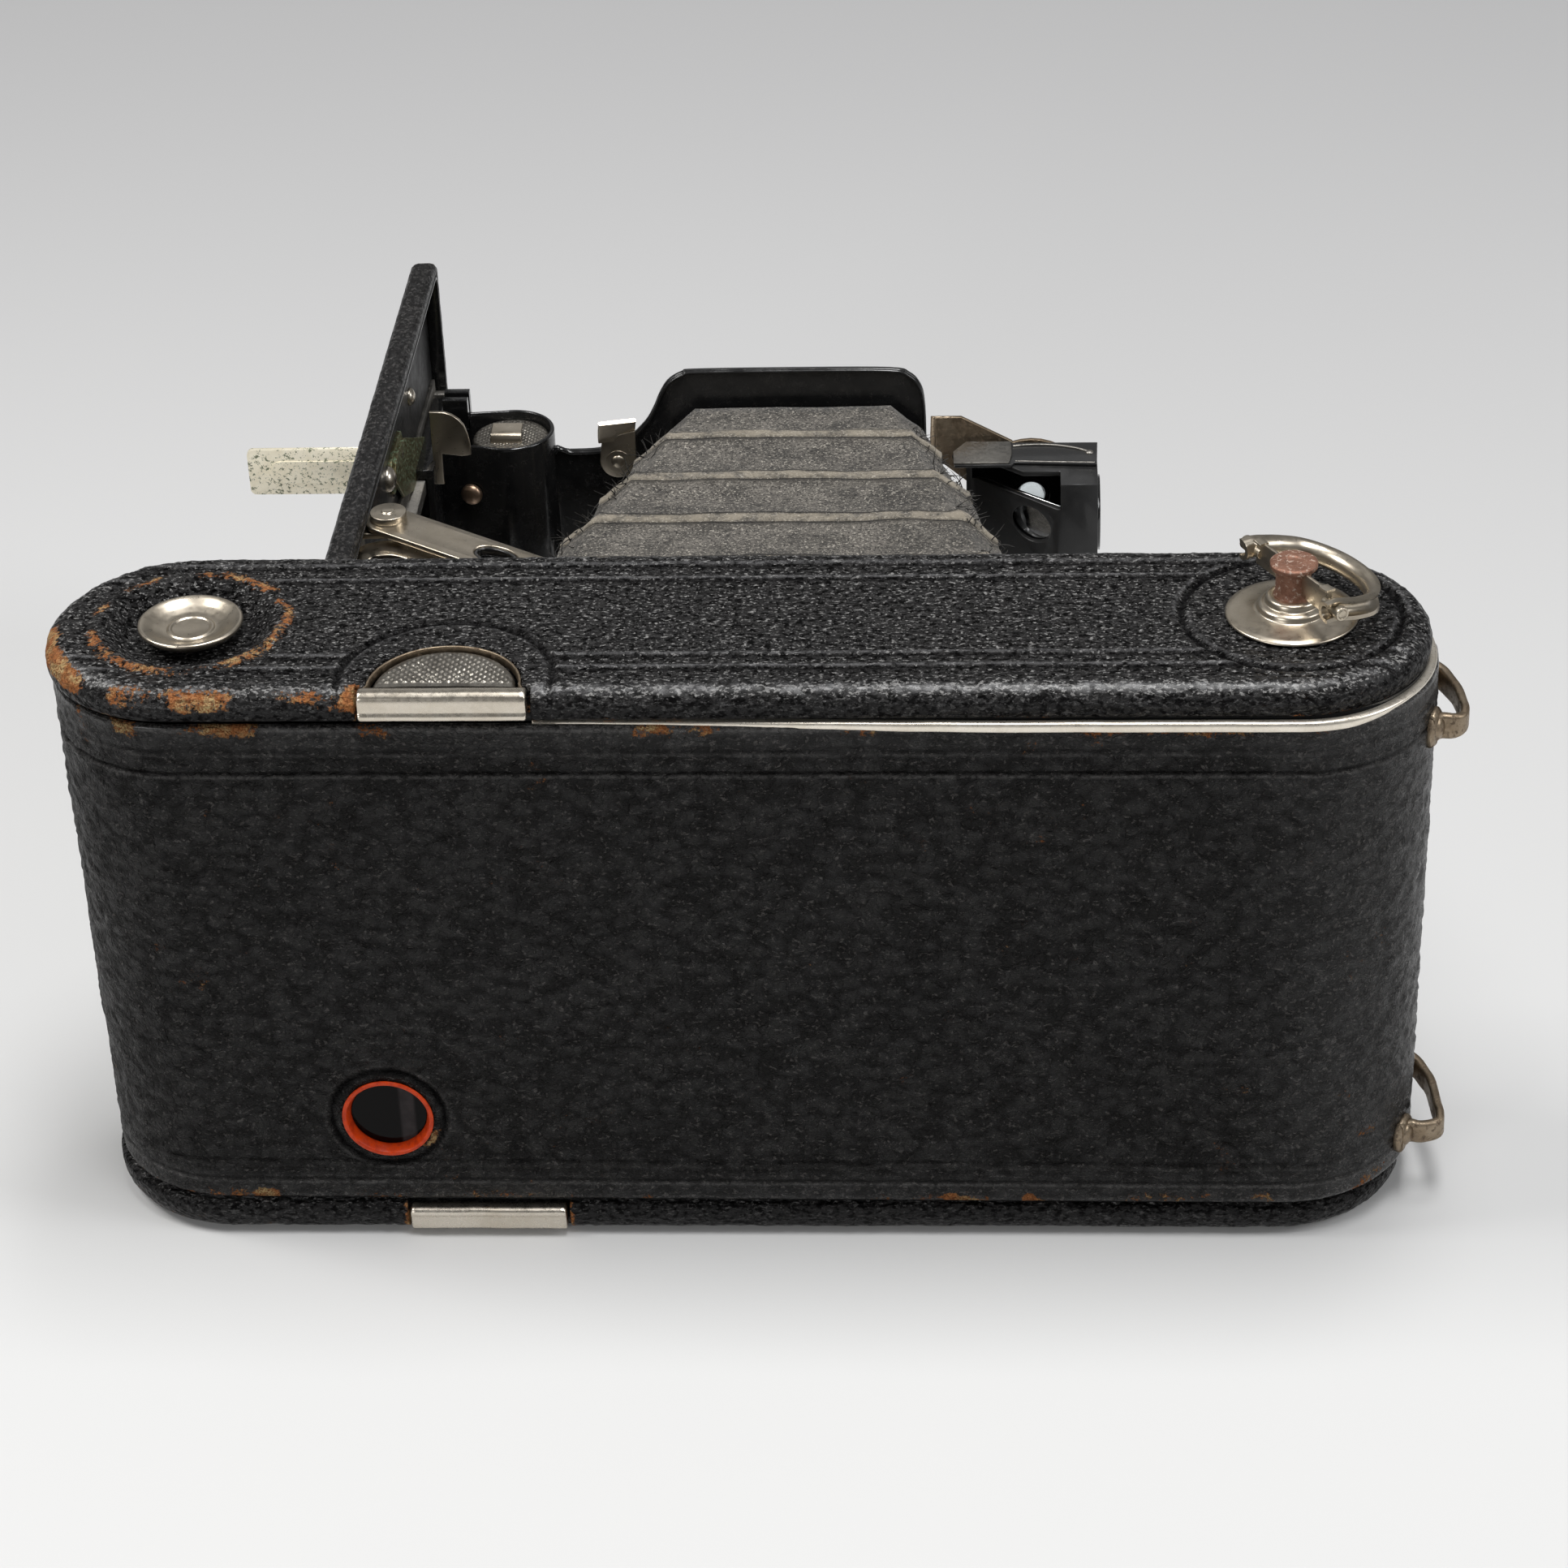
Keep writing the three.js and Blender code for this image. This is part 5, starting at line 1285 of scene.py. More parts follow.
def winding_key():
    """a blade through the post and a folding bail, both turned by -60 degrees about Z"""
    turn = math.radians(-60)
    along = np.array([math.cos(turn), math.sin(turn), 0])
    across = np.array([-math.sin(turn), math.cos(turn), 0])
    up = np.array([0, 0, 1.0])
    middle = np.array([KEY_X, KEY_Y, centre_mm("key_bail")[2]])

    blade_path = ((2.2, 0.0), (5.0, 0.0), (8.2, 0.05), (9.9, 0.1), (10.8, 0.15))
    blade_section = rounded_rect(-0.32, 0.32, -2.35, 2.5, 0.25, 3)
    lip_path = ((8.6, 0.3, 2.35), (10.7, 0.35, 2.45))
    lip_section = rounded_rect(-0.9, 0.9, -0.25, 0.25, 0.2, 3)
    pin = fillet([(0, 9.6), (1.0, 9.6), (1.0, 14.6), (0.75, 14.85), (0, 14.9)], 0.12)
    parts = []
    for side in (-1, 1):
        parts += [
            sweep([middle + along * (side * a) + across * (side * b) for a, b in blade_path],
                  blade_section, up),
            sweep([middle + along * (side * a) + across * (side * b) + up * h
                   for a, b, h in lip_path], lip_section, up),
            revolve(middle, along * side, pin, 24)]       # the bail turns on it
    make("key_wing", merge(parts), NICKEL, "winding_key", "nickel", "key_blade", weld=WELD,
         sharp=45)

    # bail: a U of half-round channel, open inside; (along, across) for its +along half
    half_width = 12.8
    half = [(4.6, 13.1), (8.6, 11.2), (11.3, 8.6), (12.5, 5.2), (half_width, 2.6),
            (half_width, 0), (half_width, -2.2)]
    outline = [(-a, b) for a, b in reversed(half)] + [(0, 13.7)] + half
    path = spline([middle + along * a + across * b - up * (0.24 * max(b, 0))
                   for a, b in outline], 6)
    opening = math.pi * 0.62
    angles = [-opening + math.pi * 1.24 * i / 12 for i in range(13)]
    section = [(1.95 * math.cos(t), 1.95 * math.sin(t)) for t in angles]
    section += [(1.25 * math.cos(-t) - 0.1, 1.25 * math.sin(-t)) for t in angles]
    parts = [sweep(path, section, up)]
    boss = fillet([(0, 0.25), (0.75, 0.25), (0.8, 0.62), (1.25, 0.66), (1.3, 0.3), (1.3, -0.6),
                   (0, -0.6)], 0.1)
    for side in (-1, 1):           # bosses where the pins end
        parts.append(revolve(middle + along * (side * (half_width + 1.45)), along * side,
                             boss, 28))
    make("key_handle", merge(parts), NICKEL, "key_bail", "nickel", "key_bail", weld=WELD,
         sharp=50)


spool_knob()
key_post()
winding_key()


# ---------------------------------------------------------------- latches
def closed_slab(top, base_z, faces, wall):
    """a top sheet, its flat copy at base_z and the walls along the given point pairs"""
    low = top.copy()
    low[:, 2] = base_z
    o = len(top)
    faces = list(faces) + [tuple(i + o for i in reversed(f)) for f in faces]
    return np.vstack([top, low]), faces + [(p, q, q + o, p + o) for p, q in wall]


def latch_bar(name, node, out, z_in, z_out, y):
    low, high = box_mm(node)
    x0, x1 = low[0] + 0.15, high[0] - 0.15
    # (y, z) section carried along X
    section = np.array(fillet([
        (y + 2.9, z_in + out * 0.2), (y + 0.9, z_in + out * 0.1), (y + 0.15, z_in + out * 0.5),
        (y, z_in + out * 1.4), (y + 0.35, z_in + out * 1.9), (y + 0.3, z_out - out * 2.0),
        (y + 0.55, z_out - out * 1.15), (y + 1.35, z_out - out * 0.55),
        (y + 2.7, z_out - out * 0.45), (y + 3.4, z_out - out * 0.75),
        (y + 3.6, z_out - out * 1.6), (y + 2.9, z_out - out * 1.9)], 0.35, closed=True))
    xs = [x0, x0 + 0.12, x0 + 0.4, *np.linspace(x0 + 1, x1 - 1, 50), x1 - 0.4, x1 - 0.12, x1]
    end = [0.86, 0.955, 1.0]       # the section shrinks at both ends
    scales = end + [1.0] * 50 + end[::-1]
    middle = section.mean(0)
    v = np.array([(x, *(middle + (q - middle) * k)) for x, k in zip(xs, scales)
                  for q in section])
    v[:, 1] += 0.05 * value_noise(v, 5, 4)
    v[:, 2] += 0.04 * value_noise(v, 5, 5)
    make(name + "_bar", (v, tube_faces(len(xs), len(section))), NICKEL_BRIGHT, node, "nickel",
         node, sharp=60)


def latch_pad(name, body, out, z):
    """half-moon pad with a raised diamond knurl"""
    r, rings, arc = 12.25, 46, 150
    v = []
    for j in range(arc + 1):
        t = math.pi * j / arc
        for i in range(rings + 1):
            q = r * i / rings
            v.append((LATCH_X + q * math.cos(t), PAD_Y + q * math.sin(t) * 0.98, z))
    v = np.array(v)
    x, y = v[:, 0], v[:, 1]
    from_centre = np.hypot(x - LATCH_X, y - PAD_Y)
    pitch = math.pi / 1.5
    knurl = (np.abs(np.sin((x + y * 0.9) * pitch)) * np.abs(np.sin((x - y * 0.9) * pitch))) ** 0.6
    inner = (1 - smooth(r - 1.2, r - 0.7, from_centre)) * smooth(0.9, 1.5, y - PAD_Y)
    crown = 0.42 * np.sqrt(np.clip(1 - (from_centre / (r + 1)) ** 2, 0, 1)) - 0.1
    v[:, 2] += out * (crown + inner * 0.34 * knurl - 0.55 * smooth(r - 0.5, r, from_centre))
    row = rings + 1
    wall = [(j * row + rings, (j + 1) * row + rings) for j in range(arc)]
    straight = [arc * row + i for i in range(rings, 0, -1)] + list(range(row))
    wall += zip(straight[:-1], straight[1:])
    make(name + "_pad", closed_slab(v, z - out * 1.2, grid(arc + 1, row), wall), KNURL, body,
         "nickel", weld=0.003, sharp=60)


def latch(name, node, upper):
    low, high = box_mm(node)
    out, z_in, z_out = (1, low[2], high[2]) if upper else (-1, high[2], low[2])
    latch_bar(name, node, out, z_in, z_out, low[1])
    latch_pad(name, node, out, z_out - out * 1.55)
    # rim of the pocket
    z = (PANEL_HIGH[2] if upper else 0.0) - out * 0.35
    arc = [math.pi * i / 40 for i in range(41)]
    path = [(LATCH_X + 13.9, PAD_Y - 1.7, z)]
    path += [(LATCH_X + 13.05 * math.cos(t), PAD_Y + 13.05 * math.sin(t), z) for t in arc]
    path += [(LATCH_X - 13.9, PAD_Y - 1.7, z)]
    make(name + "_pocket_rim", sweep(path, rounded_rect(-0.22, 0.22, -1.3, 0.34, 0.18, 3),
                                     (0, 0, out)),
         NICKEL_BROWN, "camera_body", "black_enamel", sharp=60)


latch("latch_upper", "latch_top", upper=True)
latch("latch_lower", "latch_bottom", upper=False)
lathe("tripod_socket", (centre_mm("tripod_bush")[0], 0, 0), "z",
      [(4.8, 5.4), (4.8, 0.9), (5.3, 0.35), (7.9, 0.3), (8.5, 0.55), (8.5, 1.4), (6.3, 1.6),
       (6.3, 6.6), (4.8, 6.6), (4.8, 5.4)],
      NICKEL, "camera_body", "nickel", "tripod_bush", seg=72, r=0.15)


# ---------------------------------------------------------------- bed
def bed_outline(step, r=3.6):
    """(y, z, normal y, normal z) round the bed, evenly filled in"""
    y0, y1, z0, z1 = BED_Y0, BED_Y1, BED_Z - BED_HALF, BED_Z + BED_HALF
    angles = [(quarter + i / 8) * math.pi / 2 for quarter in range(4) for i in range(9)]
    corners = rounded_rect(y0, y1, z0, z1, r, 8)
    loop = [(*p, math.cos(t), math.sin(t)) for p, t in zip(corners, angles)]
    full = []
    for p, q in zip(loop, loop[1:] + loop[:1]):
        count = max(1, int(math.hypot(q[0] - p[0], q[1] - p[1]) / step))
        for j in range(count):
            y, z, ny, nz = (a + (b - a) * j / count for a, b in zip(p, q))
            length = math.hypot(ny, nz)
            full.append((y, z, ny / length, nz / length))
    return np.array(full)


def bed_leather():
    """leather round the outer face and the rolled rim"""
    y0, y1, z1 = BED_Y0, BED_Y1, BED_Z + BED_HALF
    z0, thick = BED_Z - BED_HALF, BED_THICK
    outline = bed_outline(step=0.8)
    # (distance outwards, height over the outer face) from the inner lip over the edge
    section = [(-2.6, thick - 2.9), (-2.6, thick - 0.5), (-2.3, thick - 0.1), (-1.6, thick),
               (-0.8, thick - 0.12), (-0.2, thick - 0.6), (0.0, thick - 1.4),
               (0.02, thick - 2.2), (0.0, 1.6), (-0.2, 0.9), (-0.7, 0.3), (-1.5, 0.0),
               (-2.6, -0.02)]
    section += [(-d, 0.0) for d in np.arange(3.3, 42, 0.9)]
    section = np.array(section)
    n, m = len(outline), len(section)
    v = []
    for y, z, ny, nz in outline:
        for o, h in section:
            py, pz = y + ny * o, z + nz * o
            if o < -3.0:           # inside the rim the rings shrink towards the middle line
                k = (-o - 3.0) / 39.0
                by, bz = y - ny * 3.0, z - nz * 3.0
                ty = min(max(by, y0 + BED_HALF), y1 - BED_HALF)
                py, pz = by + (ty - by) * k, bz + (BED_Z - bz) * k
            v.append((BED_X + h, py, pz))
    v = np.array(v)
    offset = np.tile(section[:, 0], n)
    outer_face = v[:, 0] < BED_X + 0.5
    inner_wall = (offset < -2.0) & (v[:, 0] > BED_X + 2)
    rim = np.exp(-((offset + 0.6) / 1.4) ** 2)
    side = np.where(v[:, 0] > BED_X + 2.5, 1.0, -1.0)
    normals = np.stack([np.where(rim > 0.5, side * 0.5, side),
                        np.repeat(outline[:, 2], m) * rim,
                        np.repeat(outline[:, 3], m) * rim], 1)
    grain = fbm(v, (3, 1.7, 1.7), 51, 3) * 0.14 * np.where(inner_wall, 0.2, 1.0)
    v = v + normals * grain[:, None]
    x, y, z = v.T
    # two pressed lines inside the edge
    from_edge = np.minimum(np.minimum(y - y0, y1 - y), np.minimum(z - z0, z1 - z))
    v[:, 0] += outer_face * (0.22 * bell(from_edge, 7.0, 0.5) + 0.22 * bell(from_edge, 10.5, 0.5))
    v[:, 0] = np.minimum(x, BED_X + thick + 0.15)
    # opening for the carriage
    gap = (y < y0 + 3.2) & (np.abs(z - LENS_Z) < 19.8) & (x > BED_X + 2.2)
    v[:, 0] = np.where(gap, BED_X + 2.2, x)
    wear = (-0.36 + 0.24 * rim + 0.75 * bell(y, y1, 4.0) * bell(z, z1, 5)
            + 0.16 * rim * smooth(0, 0.5, fbm(v, 18, 7, 2)))
    # the rim's gloss also brings more painted glints
    make("bed_leather", (v, grid(n, m, close_u=True)), LEATHER_BED, "camera_body", "leather",
         "bed_panel", {"wear": wear, "gloss_and_painted_glint": rim * 0.5}, weld=0.01)


def bed_tray():
    """black sheet inside the rim with a thin raised lip, and the hinge knuckles"""
    y0, y1 = BED_Y0 + 2.5, BED_Y1 - 2.5
    z0, z1 = BED_Z - BED_HALF + 2.5, BED_Z + BED_HALF - 2.5
    plate("bed_tray", rounded_rect(y0, y1, z0, z1, 2.2, 5), "x", BED_X + 1.4, BED_X + 2.5,
          ENAMEL_DULL, "camera_body", "black_enamel", bevel=0.2)
    lip = rounded_rect(y0 + 0.2, y1 - 0.2, z0 + 0.2, z1 - 0.2, 2.2, 6)
    lip = lip[21:] + lip[:21]      # starts and ends beside the carriage opening
    lip = [(y0 + 0.2, LENS_Z - 20.0)] + lip + [(y0 + 0.2, LENS_Z + 20.0)]
    make("bed_lip", sweep([(BED_X + 4.4, y, z) for y, z in lip],
                          rounded_rect(-0.28, 0.28, -1.9, 1.15, 0.22, 3), (1, 0, 0)),
         ENAMEL, "camera_body", "black_enamel", sharp=60)
    parts = []
    barrel = fillet([(1.1, -5.6), (2.3, -5.6), (2.3, 5.6), (1.1, 5.6), (1.1, -5.6)], 0.2)
    for node in ("bed_hinge_upper", "bed_hinge_lower"):
        z = centre_mm(node)[2]
        parts += [revolve((-76.5, 22, z), "z", barrel, 36),
                  sweep([(-77.4, 22.2, z), (-77.6, 24.5, z), (-77.6, 27.5, z)],
                        rounded_rect(-1.0, 1.0, -5.5, 5.5, 0.3, 3), (0, 0, 1))]
    make("bed_knuckles", merge(parts), STEEL, "camera_body", "steel", weld=WELD, sharp=45)


def bed_fittings():
    """rivets on the bed's inner side, and the focus scale"""
    rivets = ((119.5, 86.6, 2.3, 1.7), (107.2, 87.3, 2.7, 2.0), (142.8, 87.9, 1.9, 1.4),
              (107.2, 28.7, 2.5, 1.6), (60, 88, 1.6, 1.2), (60, 28, 1.6, 1.2))  # y, z, r, height
    make("bed_rivets", merge([dome((BED_X + 2.4, y, z), (1, 0, 0), r, h)
                              for y, z, r, h in rivets]),
         NICKEL_BRIGHT, "camera_body", "nickel", weld=WELD, sharp=60)
    # (y, z) outline with teeth along the lower edge
    outline = [(108.9, 86.1), (110.6, 88.9), (113.8, 89.8), (124, 88.0), (137.9, 80.8),
               (150, 74.8), (156.4, 71.4)]
    for i in range(19):
        y = 156.0 - 0.8 * i
        outline += [(y, 70.6), (y - 0.4, 71.5)]
    outline += [(140.5, 70.6), (130, 72.6), (117.8, 77.6)]
    plate("distance_scale", outline, "x", -76.3, -75.5, BRASS, "camera_body", "brass",
          "focus_scale", bevel=0.12)
    plate("distance_scale_foot", rounded_rect(108.8, 125, 82, 90, 2.4), "x", -77.2, -76.2,
          BRASS, "camera_body", "brass", bevel=0.12)


def brace(name, node, upper):
    """strip from the bed back to the body, with its window, studs and curved link"""
    start, end = np.array([-70.0, 65.4]), np.array([6.0, 15.0])
    z, thick = (99.6 if upper else 15.2), 1.2
    out = 1 if upper else -1
    angle = math.atan2(end[1] - start[1], end[0] - start[0])
    length = float(np.linalg.norm(end - start))
    # the strip narrows a little in the middle
    outline = [(u, w * (1 - 0.10 * math.sin(math.pi * min(max(u / length, 0), 1))))
               for u, w in rounded_rect(-4.6, length + 3.2, -4.6, 4.6, 4.5, 12)]

    def oval(half_u, half_w, count):
        return [(26.3 + half_u * math.cos(t), 0.3 + half_w * math.sin(t))
                for t in round_angles(count)]

    plate(name, outline, "z", 0, thick, NICKEL, "camera_body", "nickel", node,
          holes=[oval(4.9, 2.75, 40)], bevel=0.3, at=(*start, z), turn=angle)
    c, s = math.cos(angle), math.sin(angle)
    ring = [(start[0] + u * c - w * s, start[1] + u * s + w * c, z + 0.3)
            for u, w in oval(4.5, 2.4, 48)]
    make(name + "_eyelet", sweep(ring, rounded_rect(-0.35, 0.35, -0.9, 0.65, 0.2, 3), (0, 0, 1),
                                 closed=True),
         ENAMEL, "camera_body", "black_enamel", sharp=50)
    outer_z, inner_z = (z + thick, z) if upper else (z, z + thick)
    panel_z = PANEL_LOW[2] if upper else LOWER_INNER_Z
    post_low, post_high = min(z, panel_z) - 0.2, max(z, panel_z)
    parts = [dome((*start, outer_z), (0, 0, out), 3.5, 1.7),
             dome((*end, inner_z), (0, 0, -out), 3.0, 1.2),
             revolve((*end, 0), "z", [(0, post_low), (2, post_low), (2, post_high),
                                      (0, post_high)], 28)]
    make(name + "_studs", merge(parts), NICKEL, "camera_body", "nickel", weld=WELD, sharp=50)
    # curved link on the inner side of the strip, from the bed back into the body
    link_z = z - out * 2.2
    path = spline([(-75.6, 57.5, link_z - out * 1.0), (-72.5, 59.6, link_z - out * 0.4),
                   (-67, 59.2, link_z), (-60.5, 55.2, link_z), (-55, 50.5, link_z),
                   (-50, 46.5, link_z)], 7)
    widths = [0.75 + 0.25 * min(1, i / 9) for i in range(len(path))]
    make(name + "_link", sweep(path, rounded_rect(-3.0, 3.0, -0.55, 0.55, 0.3, 3), (0, 0, 1),
                               scale=widths),
         NICKEL, "camera_body", "nickel", sharp=50)


bed_leather()
bed_tray()
bed_fittings()
brace("brace_top_strip", "brace_upper", upper=True)
brace("brace_bottom_strip", "brace_lower", upper=False)


# ---------------------------------------------------------------- bellows
# one fold: (share of the fold, distance outwards, ridge, crease: painted shade)
FOLD = [
    (0.00, 0.26, 0.1, 1.0), (0.010, 0.34, 0.7, 0.3), (0.030, 0.38, 0.9, 0), (0.07, 0.40, 1.0, 0),
    (0.12, 0.36, 0.9, 0), (0.160, 0.24, 0.6, 0.1), (0.175, 0.02, 0.0, 1.0),
    (0.190, 0.14, 0.6, 0.2), (0.205, 0.08, 0.1, 0), (0.36, -0.05, 0, 0), (0.50, -0.16, 0, 0),
    (0.64, -0.20, 0, 0), (0.78, -0.18, 0, 0), (0.90, -0.12, 0, 0), (0.945, -0.02, 0.1, 0),
    (0.958, 0.06, 0.7, 0.1), (0.970, -0.12, 0.0, 1.0), (0.988, 0.06, 0.3, 0.3)]
FOLDS = 8
FOLD_START = 0.225                # share of the first fold hidden by the standard


def bellows():
    low, high = box_mm("bellows")
    y0, y1 = low[1], high[1]
    length = y1 - y0
    # half width and half height at the body (y0) and at the standard (y1)
    body_x, body_z = (high[0] - low[0]) / 2 + 0.4, (high[2] - low[2]) / 2 + 0.4
    front_x, front_z = 26.9, 25.5

    rings = []                     # y, distance outwards, ridge, crease, corner cut
    for k in range(FOLDS):
        for t, o, ridge, crease in FOLD:
            if k == 0 and t < 0.22:
                continue
            u = (k + t - FOLD_START) / (FOLDS - FOLD_START)
            rings.append((y1 - length * max(u, 0), 1.3 * o, ridge, crease, 7.0 - 0.9 * o))
    rings.append((y0, 0.3, 0, 0, 5))
    sides = (28, 6, 36, 6) * 2     # points along each side of the eight-sided ring
    m, n = sum(sides), len(rings)
    v = []
    for y, offset, _, _, cut in rings:
        u = (y1 - y) / length
        a = front_x + (body_x - front_x) * u + offset - 0.6
        b = front_z + (body_z - front_z) * u + offset - 0.6
        c = cut * (0.80 + 0.25 * u)
        d = c * 1.15
        corners = [(a, -b + c), (a, b - c), (a - d, b), (-a + d, b), (-a, b - c), (-a, -b + c),
                   (-a + d, -b), (a - d, -b)]
        for p, q, count in zip(corners, corners[1:] + corners[:1], sides):
            for j in range(count):
                t = j / count
                v.append((LENS_X + p[0] + (q[0] - p[0]) * t, y,
                          LENS_Z + p[1] + (q[1] - p[1]) * t))
    v = np.array(v)
    ridge = np.repeat([float(r[2]) for r in rings], m)
    crease = np.repeat([float(r[3]) for r in rings], m)
    x, y, z = v.T
    quads = np.array(grid(n, m, close_v=True))
    normals = vertex_normals(v, quads)
    outward = np.stack([x - LENS_X, np.zeros(len(v)), z - LENS_Z], 1)
    normals *= np.sign((normals * outward).sum(1))[:, None]

    # sag, wavering folds and puckers, all dying out at the ends
    from_y0, from_y1 = y - y0, y1 - y
    hold = smooth(0, 5, from_y0) * smooth(0, 5, from_y1)
    across = np.abs(x - LENS_X) / (front_x + (body_x - front_x) * from_y1 / length)
    pucker = (0.45 * fbm(v, (26, 14, 26), 17, 2) + 0.20 * fbm(v, (5, 3, 5), 27, 2)
              + smooth(0.72, 0.95, across) * (0.85 * fbm(v, (3.2, 2.6, 3.2), 37, 3)))
    outer = v + normals * pucker[:, None] * hold[:, None]
    outer[:, 1] += (1.5 * value_noise(v, (34, 900, 34), 71) * hold
                    + 0.35 * value_noise(v, (9, 900, 9), 72) * hold)
    outer[:, 2] -= (smooth(0.5, 0.95, normals[:, 2]) * 0.9 * (1 - ((x - LENS_X) / 60) ** 2)
                    * smooth(0, 60, from_y0) * smooth(0, 60, from_y1))
    inner = outer - normals * 0.7
    o, last = len(outer), (n - 1) * m
    faces = [tuple(q) for q in quads] + [tuple(i + o for i in reversed(q)) for q in quads]
    for j in range(m):
        j2 = (j + 1) % m
        faces.append((j, j2, j2 + o, j + o))
        faces.append((last + j2, last + j, last + j + o, last + j2 + o))
    ridge = ridge * (0.75 + 0.5 * smooth(0.75, 1.0, across))
    nothing = np.zeros(o)
    add_bellows("bellows_folds", (np.vstack([outer, inner]), faces), y0, "bellows",
                ridge=np.concatenate([ridge, nothing]), crease=np.concatenate([crease, crease]),
                inside=np.concatenate([nothing, nothing + 1]))

    # worn fibres along the upper corner folds
    rng = np.random.default_rng(5)
    hair = [(0.13 * math.cos(t), 0.13 * math.sin(t)) for t in (0, 2.09, 4.19)]
    near = ((np.abs(across - 0.93) < 0.09) & (z > LENS_Z + 12) & (y < y1 - 4) & (y > 40))
    parts = []
    for i in rng.choice(np.flatnonzero(near), 520):
        root = outer[i]
        aim = normals[i] * 0.7 + rng.normal(0, 0.7, 3)
        aim /= np.linalg.norm(aim)
        size = rng.uniform(1.0, 3.6)
        curl = rng.normal(0, 0.6, 3)
        path = [root - aim * 0.3, root + aim * size * 0.35 + curl * 0.1,
                root + aim * size * 0.7 + curl * 0.5, root + aim * size + curl]
        parts.append(sweep(path, hair, (0.13, 0.31, 0.94), scale=[1.3, 1, 0.7, 0.3]))
    shape = merge(parts)
    ones = np.ones(len(shape[0]))
    add_bellows("bellows_fray", shape, y0, None, ridge=ones * 0.25, crease=ones * 0.45,
                inside=ones * 0)


def add_bellows(name, shape, y0, node, **attrs):
    """cloth that folds up towards the body with the standard"""
    ob = make(name, shape, BELLOWS, "camera_body", "bellows_cloth", node, attrs)
    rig.squash(ob, "standard_slide", axis=(0, 1, 0), anchor=(0.003, y0 * 0.001, 0.058),
              keep=0.0969)


bellows()


# ---------------------------------------------------------------- lens standard
def lens_panel():
    low, high = box_mm("standard_plate")
    # upper half of the outline: (x, height over the lens axis)
    half = [(30.8, 0), (30.8, 17.9), (30.6, 24.9), (29.8, 28.4), (27.6, 31.0), (23.3, 32.2),
            (3, 32.4), (-17.2, 32.3), (-20.3, 31.8), (-23.3, 29.9), (-25.2, 26.9),
            (-26.4, 24.1), (-28.0, 21.1), (-30.2, 18.5), (-32.5, 16.4), (-35.5, 14.8),
            (-39.6, 13.9), (-45, 13.7), (-48.6, 13.6), (-48.6, 0)]
    upper = [tuple(p) for p in spline([(x, LENS_Z + h) for x, h in half], 5)[1:-1]]
    lower = [(x, 2 * LENS_Z - z) for x, z in reversed(upper)]
    hole = [(z, x) for x, z in circle((LENS_X, LENS_Z), 15.2, 64)]
    plate("lens_panel", [(z, x) for x, z in upper + lower], "y", low[1], high[1], ENAMEL,
          "lens_standard", "black_enamel", "standard_plate", holes=[hole], bevel=0.35,
          bevel_steps=3)
    # thin rolled edge along the upper and lower outline
    for side, place in ((1, "upper"), (-1, "lower")):
        bead = [(x - 0.012 * (x - LENS_X), low[1] - 0.05, LENS_Z + side * (z - LENS_Z - 0.55))
                for x, z in upper if z - LENS_Z > 12.0]
        make("lens_panel_bead_" + place, sweep(bead, circle((0, 0), 0.38, 10), (0, 1, 0)),
             ENAMEL, "lens_standard", "black_enamel", sharp=60)


HOUSING_X, HOUSING_Y = -57.3, 150.0         # centre of the focus housing's round end
HOUSING_BACK_X = -71.9                      # its flat end


def housing_outline(shrink):
    """three-sided end with a round nose: (x, y)"""
    r = 9.3 - shrink
    points = [(HOUSING_X + r * math.cos(t), HOUSING_Y + r * math.sin(t))
              for t in np.linspace(-math.pi * 0.58, math.pi * 0.58, 48)]
    x = HOUSING_BACK_X + shrink
    return points + [(x, 158.0 - shrink), (x, 143.6 + shrink)]


def focus_housing():
    plate("focus_housing", housing_outline(0), "z", 40.2, 76.0, ENAMEL, "lens_standard",
          "black_enamel", "foot_housing", holes=[housing_outline(0.95)], bevel=0.3)
    # rolled edge of the rim: its arc and flat end are inset by slightly different amounts
    path = [(x, y, 75.95) for x, y in housing_outline(0.45)[:-2]]
    path += [(HOUSING_BACK_X + 0.5, y, 75.95) for y in (158.0 - 0.5, 143.6 + 0.5)]
    make("focus_housing_rim", sweep(path, circle((0, 0), 0.48, 12), (0, 0, 1), closed=True),
         ENAMEL, "lens_standard", "black_enamel", sharp=60)
    # webs that tie the housing to the carriage
    parts = []
    for z0, z1, bridge_z in ((74.4, 81.6, 75.4), (34.4, 42.0, 41)):
        z, half = (z0 + z1) / 2, (z1 - z0) / 2
        for y in (154.5, 158.3):
            parts.append(sweep([(x, y, z) for x in (HOUSING_BACK_X, -69, -66.6)],
                               rounded_rect(-0.9, 0.9, -half, half, 0.5, 4), (0, 0, 1)))
        parts.append(sweep([(x, 156.4, bridge_z) for x in (HOUSING_BACK_X, -66.6)],
                           rounded_rect(-2.7, 2.7, -0.95, 0.95, 0.4, 3), (0, 0, 1)))
    make("housing_webs", merge(parts), ENAMEL, "lens_standard", "black_enamel", weld=WELD,
         sharp=50)


